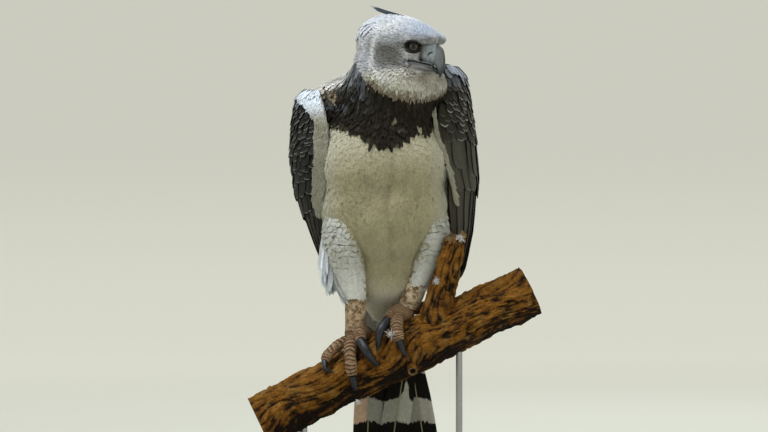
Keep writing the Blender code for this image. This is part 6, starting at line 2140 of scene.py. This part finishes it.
def bark_finish():
    """Weathered wood: warm brown ridges, paler patches, and rings at the cut ends, with painted shade that
    makes the cracks and the underside near black.
    """
    finish = Finish("weathered_wood", (0.2, 0.1, 0.04), Roughness=0.85, Specular_IOR_Level=0.2)
    place = finish.place()
    lengthwise = finish.stretched(place, (120.0, 520.0, 520.0), (0.0, 0.46, 0.0))
    fibre = finish.noise(lengthwise, 1.0, 6.0, 0.75, 0.4)
    patches = finish.noise(place, 30.0, 4.0, 0.65)
    speck = finish.noise(place, 520.0, 4.0, 0.7)
    relief = finish.number("Relief")
    warm = finish.blend(finish.span(fibre, 0.28, 0.70), (0.085, 0.030, 0.003), (0.360, 0.150, 0.014))
    warm = finish.blend(finish.span(patches, 0.50, 0.66, 0.0, 0.75), warm, (0.285, 0.160, 0.042))
    warm = finish.blend(finish.span(patches, 0.32, 0.44, 0.7, 0.0), warm, (0.070, 0.028, 0.006))
    worn = finish.blend(finish.span(relief, 0.62, 0.95, 0.0, 0.6), warm, (0.420, 0.225, 0.050))
    # Painted shade: near black where the relief number is low, in the cracks and on the underside.
    dark = finish.blend(finish.span(relief, 0.16, 0.60, 1.0, 0.0), worn, (0.010, 0.004, 0.001))
    dark = finish.scaled(dark, finish.span(speck, 0.25, 0.75, 0.62, 1.18))
    rings = finish.wave(finish.vector(finish.number("Core")), 3.2, 1.2, 2.0)
    cut = finish.blend(rings, (0.120, 0.066, 0.026), (0.360, 0.245, 0.125))
    cut = finish.scaled(cut, finish.span(patches, 0.35, 0.60, 0.62, 1.10))
    cut = finish.scaled(cut, finish.span(speck, 0.25, 0.75, 0.70, 1.10))
    sawn = finish.span(relief, 1.4, 1.6)
    finish.colour(finish.blend(sawn, dark, cut))
    finish.rough(finish.span(fibre, 0.2, 0.8, 0.75, 0.95))
    finish.bump(finish.sum("MULTIPLY_ADD", fibre, 1.0, speck), 0.0022, 0.9)
    return finish.material


def broken_top(spots, turn, length, along):
    """Moves the last rings of the stub up or down by a splintered height, so that its top looks broken."""
    share = length / length[-1]
    splinter = 0.010 * np.cos(turn + 0.6) + 0.004 * np.sin(5 * turn) + 0.003 * np.sin(11 * turn + 1.0)
    return spots + along[:, None] * (ease(share, 0.86, 1.0) * (splinter - 0.006))[..., None]


TUFT_BARBS = 90

# Places and sizes of the tufts of down that are caught on the wood
TUFTS = (
    ((0.150, -0.068, 0.520), 0.010), ((0.104, -0.066, 0.436), 0.009),
    ((0.016, -0.062, 0.330), 0.012), ((-0.052, -0.066, 0.196), 0.006),
)


def perch(material, down_material, rng):
    """The branch, its broken stub and the small sawn twig in front, with tufts of down caught on them."""
    run = branch_line(440)
    swell = 0.955 + 0.06 * np.sin(math.pi * np.linspace(0.0, 1.0, len(run)))
    wood_tube("branch_wood", run, BRANCH_RADIUS * swell, 190, 1.0, material, ("perch_branch",), seed=31,
              depth=0.0105)
    stub = smooth_line(STUB_RUN, 190)
    taper = np.linspace(1.35, 0.94, len(stub))
    wood_tube("stub_wood", stub, STUB_RADIUS * taper, 130, 1.0, material, ("perch_stub",), seed=47,
              depth=0.0070,
              top=broken_top)
    twig = smooth_line(TWIG_RUN, 40)
    wood_tube("twig_wood", twig, TWIG_RADIUS * np.ones(len(twig)), 60, 0.4, material, (), seed=53,
              depth=0.0012,
              hollow=0.006)
    for k, (middle, size) in enumerate(TUFTS):
        down_tuft(f"down_tuft_{k}", middle, size, down_material, rng)


def down_tuft(name, middle, size, material, rng):
    """A scrap of down: thin curved barbs that spread from one root, each bent by its own random turn."""
    n = TUFT_BARBS
    way = unit(rng.normal(0, 1, (n, 3)) + np.array([0.0, -0.8, 0.2]))
    bend = unit(rng.normal(0, 1, (n, 3)))
    shares = SMALL_SHARES
    long = (size * rng.uniform(0.5, 1.1, n))[:, None, None]
    line = (np.asarray(middle) + way[:, None] * shares[None, :, None] * long
            + bend[:, None] * (shares**2)[None, :, None] * long * 0.5)
    outs = np.broadcast_to(unit(np.cross(way, bend))[:, None], line.shape)
    across = unit(np.cross(np.gradient(line, axis=1), outs))
    half = np.full((n, len(shares)), 0.00045) * SMALL_BLADE
    tint = np.full((n, len(shares), 3), 0.78)
    spread = (rng.uniform(0, 1, n), rng.uniform(0, 1, n))
    vanes(name, line, outs, across, half, shares, tint, material, spread, thick=0.0002,
          camber=0.0)


# The stand


def stand_wood():
    """Dark stained wood under a satin varnish, its grain along the base."""
    finish = Finish("stand_walnut", (0.1, 0.06, 0.035), Roughness=0.38, Coat_Weight=0.25, Coat_Roughness=0.3)
    place = finish.stretched(finish.place(), (1.6, 22.0, 22.0))
    grain_lines = finish.noise(place, 6.0, 6.0, 0.65, 0.6)
    pores = finish.noise(finish.stretched(finish.place(), (18.0, 420.0, 420.0)), 1.0, 3.0, 0.6)
    base = finish.blend(finish.span(grain_lines, 0.3, 0.7), (0.045, 0.024, 0.012), (0.135, 0.078, 0.042))
    finish.colour(finish.scaled(base, finish.span(pores, 0.35, 0.6, 0.72, 1.0)))
    finish.rough(finish.span(grain_lines, 0.3, 0.7, 0.32, 0.46))
    finish.bump(pores, 0.0004, 0.4)
    return finish.material


def stand_steel():
    """Drawn steel rod with fine lines round it."""
    finish = Finish("stand_steel", (0.34, 0.34, 0.35), Roughness=0.32, Metallic=1.0)
    lines = finish.noise(finish.stretched(finish.place(), (60.0, 60.0, 1800.0)), 1.0, 3.0, 0.6)
    finish.rough(finish.span(lines, 0.2, 0.8, 0.24, 0.44))
    finish.colour(finish.blend(finish.span(lines, 0.3, 0.7), (0.30, 0.30, 0.31), (0.40, 0.40, 0.41)))
    finish.bump(lines, 0.0002, 0.3)
    return finish.material


# Floor, light and camera


# The floor: half its side, points along a side, how far out it is level, and its greatest height
FLOOR_REACH = 12.0
FLOOR_POINTS = 97
FLOOR_LEVEL = 7.4
FLOOR_TOP = 7.0


def stage():
    """A pale floor like a wide bowl: level round the model, then rising by the square of the way out, so that
    the background is alike from every side. Its upper part glows softly."""
    side = np.linspace(-FLOOR_REACH, FLOOR_REACH, FLOOR_POINTS)
    x, y = np.meshgrid(side, side)
    rise = 0.28 * np.maximum(np.hypot(x, y) - FLOOR_LEVEL, 0.0) ** 2
    points = np.stack([x, y, np.minimum(rise, FLOOR_TOP)], axis=-1)
    mesh = bpy.data.meshes.new("studio_floor")
    quads = net(FLOOR_POINTS, FLOOR_POINTS, closed=False)
    mesh.from_pydata(points.reshape(-1, 3).tolist(), [], quads.tolist())
    mesh.shade_smooth()
    finish = Finish("pale_paper", (0.56, 0.57, 0.50), Roughness=0.9)
    x, y, z = (finish.part(finish.place(), axis) for axis in "XYZ")
    finish.colour(finish.blend(finish.span(z, 0.0, 1.0), (0.60, 0.61, 0.54), (0.40, 0.41, 0.36)))
    finish.shader.inputs["Emission Color"].default_value = (1.0, 1.0, 0.90, 1.0)
    far = finish.add("VectorMath", {0: finish.vector(x, y)}, operation="LENGTH").outputs["Value"]
    glow = finish.span(far, 0.6, 6.0, 0.04, 0.40)
    finish.material.node_tree.links.new(glow, finish.shader.inputs["Emission Strength"])
    mesh.materials.append(finish.material)
    put("studio_floor", mesh)


def lamp(name, place, target, size, watts, colour):
    """A soft square lamp turned to a point."""
    light = bpy.data.lights.new(name, "AREA")
    light.size = size
    light.energy = watts
    light.color = colour
    thing = put(name, light)
    thing.location = place
    thing.rotation_euler = aim(np.asarray(target, float) - np.asarray(place, float))


def aim(way):
    """Turns that point an object's -Z along a way, keeping its X level."""
    level = math.hypot(way[0], way[1])
    return (math.atan2(level, -way[2]), 0.0, math.atan2(-way[0], way[1]))


# Name, place, target, size, watts and colour of each lamp
LAMPS = (
    ("key_lamp", (-1.2, -1.4, 4.2), (0.0, 0.0, 0.7), 1.6, 142.0, (0.95, 0.98, 1.0)),
    ("fill_lamp", (3.4, -3.4, 1.6), (0.0, 0.0, 0.6), 2.4, 26.0, (1.0, 0.97, 0.86)),
    ("rim_lamp", (1.0, 2.4, 3.0), (0.0, 0.0, 0.7), 1.6, 50.0, (0.92, 0.97, 1.0)),
)
CAMERA_PLACE = (0.0, -6.0, 0.564)
SENSOR_WIDTH = 36.0

# How wide the picture is at the distance of the bird's middle
VIEW_WIDTH = 1.536


def light_and_camera():
    """An even pale sky, three soft lamps, and a level camera in front."""
    world = bpy.data.worlds.new("studio")
    bpy.context.scene.world = world
    world.use_nodes = True
    sky = world.node_tree.nodes["Background"].inputs
    sky["Color"].default_value = (0.93, 0.93, 0.80, 1.0)
    sky["Strength"].default_value = 0.30
    for values in LAMPS:
        lamp(*values)
    camera = bpy.data.cameras.new("camera")
    camera.lens = SENSOR_WIDTH * -CAMERA_PLACE[1] / VIEW_WIDTH
    camera.sensor_width = SENSOR_WIDTH
    thing = put("camera", camera)
    thing.location = CAMERA_PLACE
    thing.rotation_euler = (math.pi / 2, 0.0, 0.0)
    bpy.context.scene.camera = thing
    bpy.context.scene.view_settings.view_transform = "Standard"


# The seed of all random draws
SEED = 20


def main():
    """Builds the bird from the skin outwards, then the perch, the stand's looks and the stage."""
    rng = np.random.default_rng(SEED)
    bird_skin(skin_finish())
    soft = plumage("soft_plumage")
    body_feathers((soft, plumage("dark_plumage", roughness=0.80, streak=0.30, barb=0.20, sheen=0.0)), rng)
    head_feathers(plumage("head_plumage", streak=0.22), rng)
    crest_feathers(tipped_plumage("crest_plumage", (0.66, 0.70, 0.76), low=0.90, high=1.4), rng)
    barred = barred_plumage()
    tipped = tipped_plumage("wing_plumage", (0.42, 0.43, 0.42), low=0.955, high=1.4, roughness=0.60,
                            ragged=0.02,
                            shaft=0.12, gloss=0.22)
    for side in SIDES:
        thigh_feathers(side, barred, rng)
        thigh_flags(side, soft, rng)
        wing_feathers(side, tipped, rng)
        wing_edge_feathers(side, soft, rng)
    tail_feathers(tail_finish())
    tail_coverts(soft, rng)
    bill(bill_finish())
    dark = dark_skin_finish()
    gape(lip_finish(), dark)
    ball = eye_finish()
    scaly, horn = leg_finish(), claw_finish()
    for side in SIDES:
        eye_ball(side, ball)
        lids(side, dark)
        leg(side, scaly)
        claws(side, horn)
    perch(bark_finish(), soft, rng)
    wood, steel = stand_wood(), stand_steel()
    for name, material in (("stand_base", wood), ("stand_rod_left", steel), ("stand_rod_right", steel)):
        NODES[name].material_slots[0].material = material
    stage()
    light_and_camera()


main()
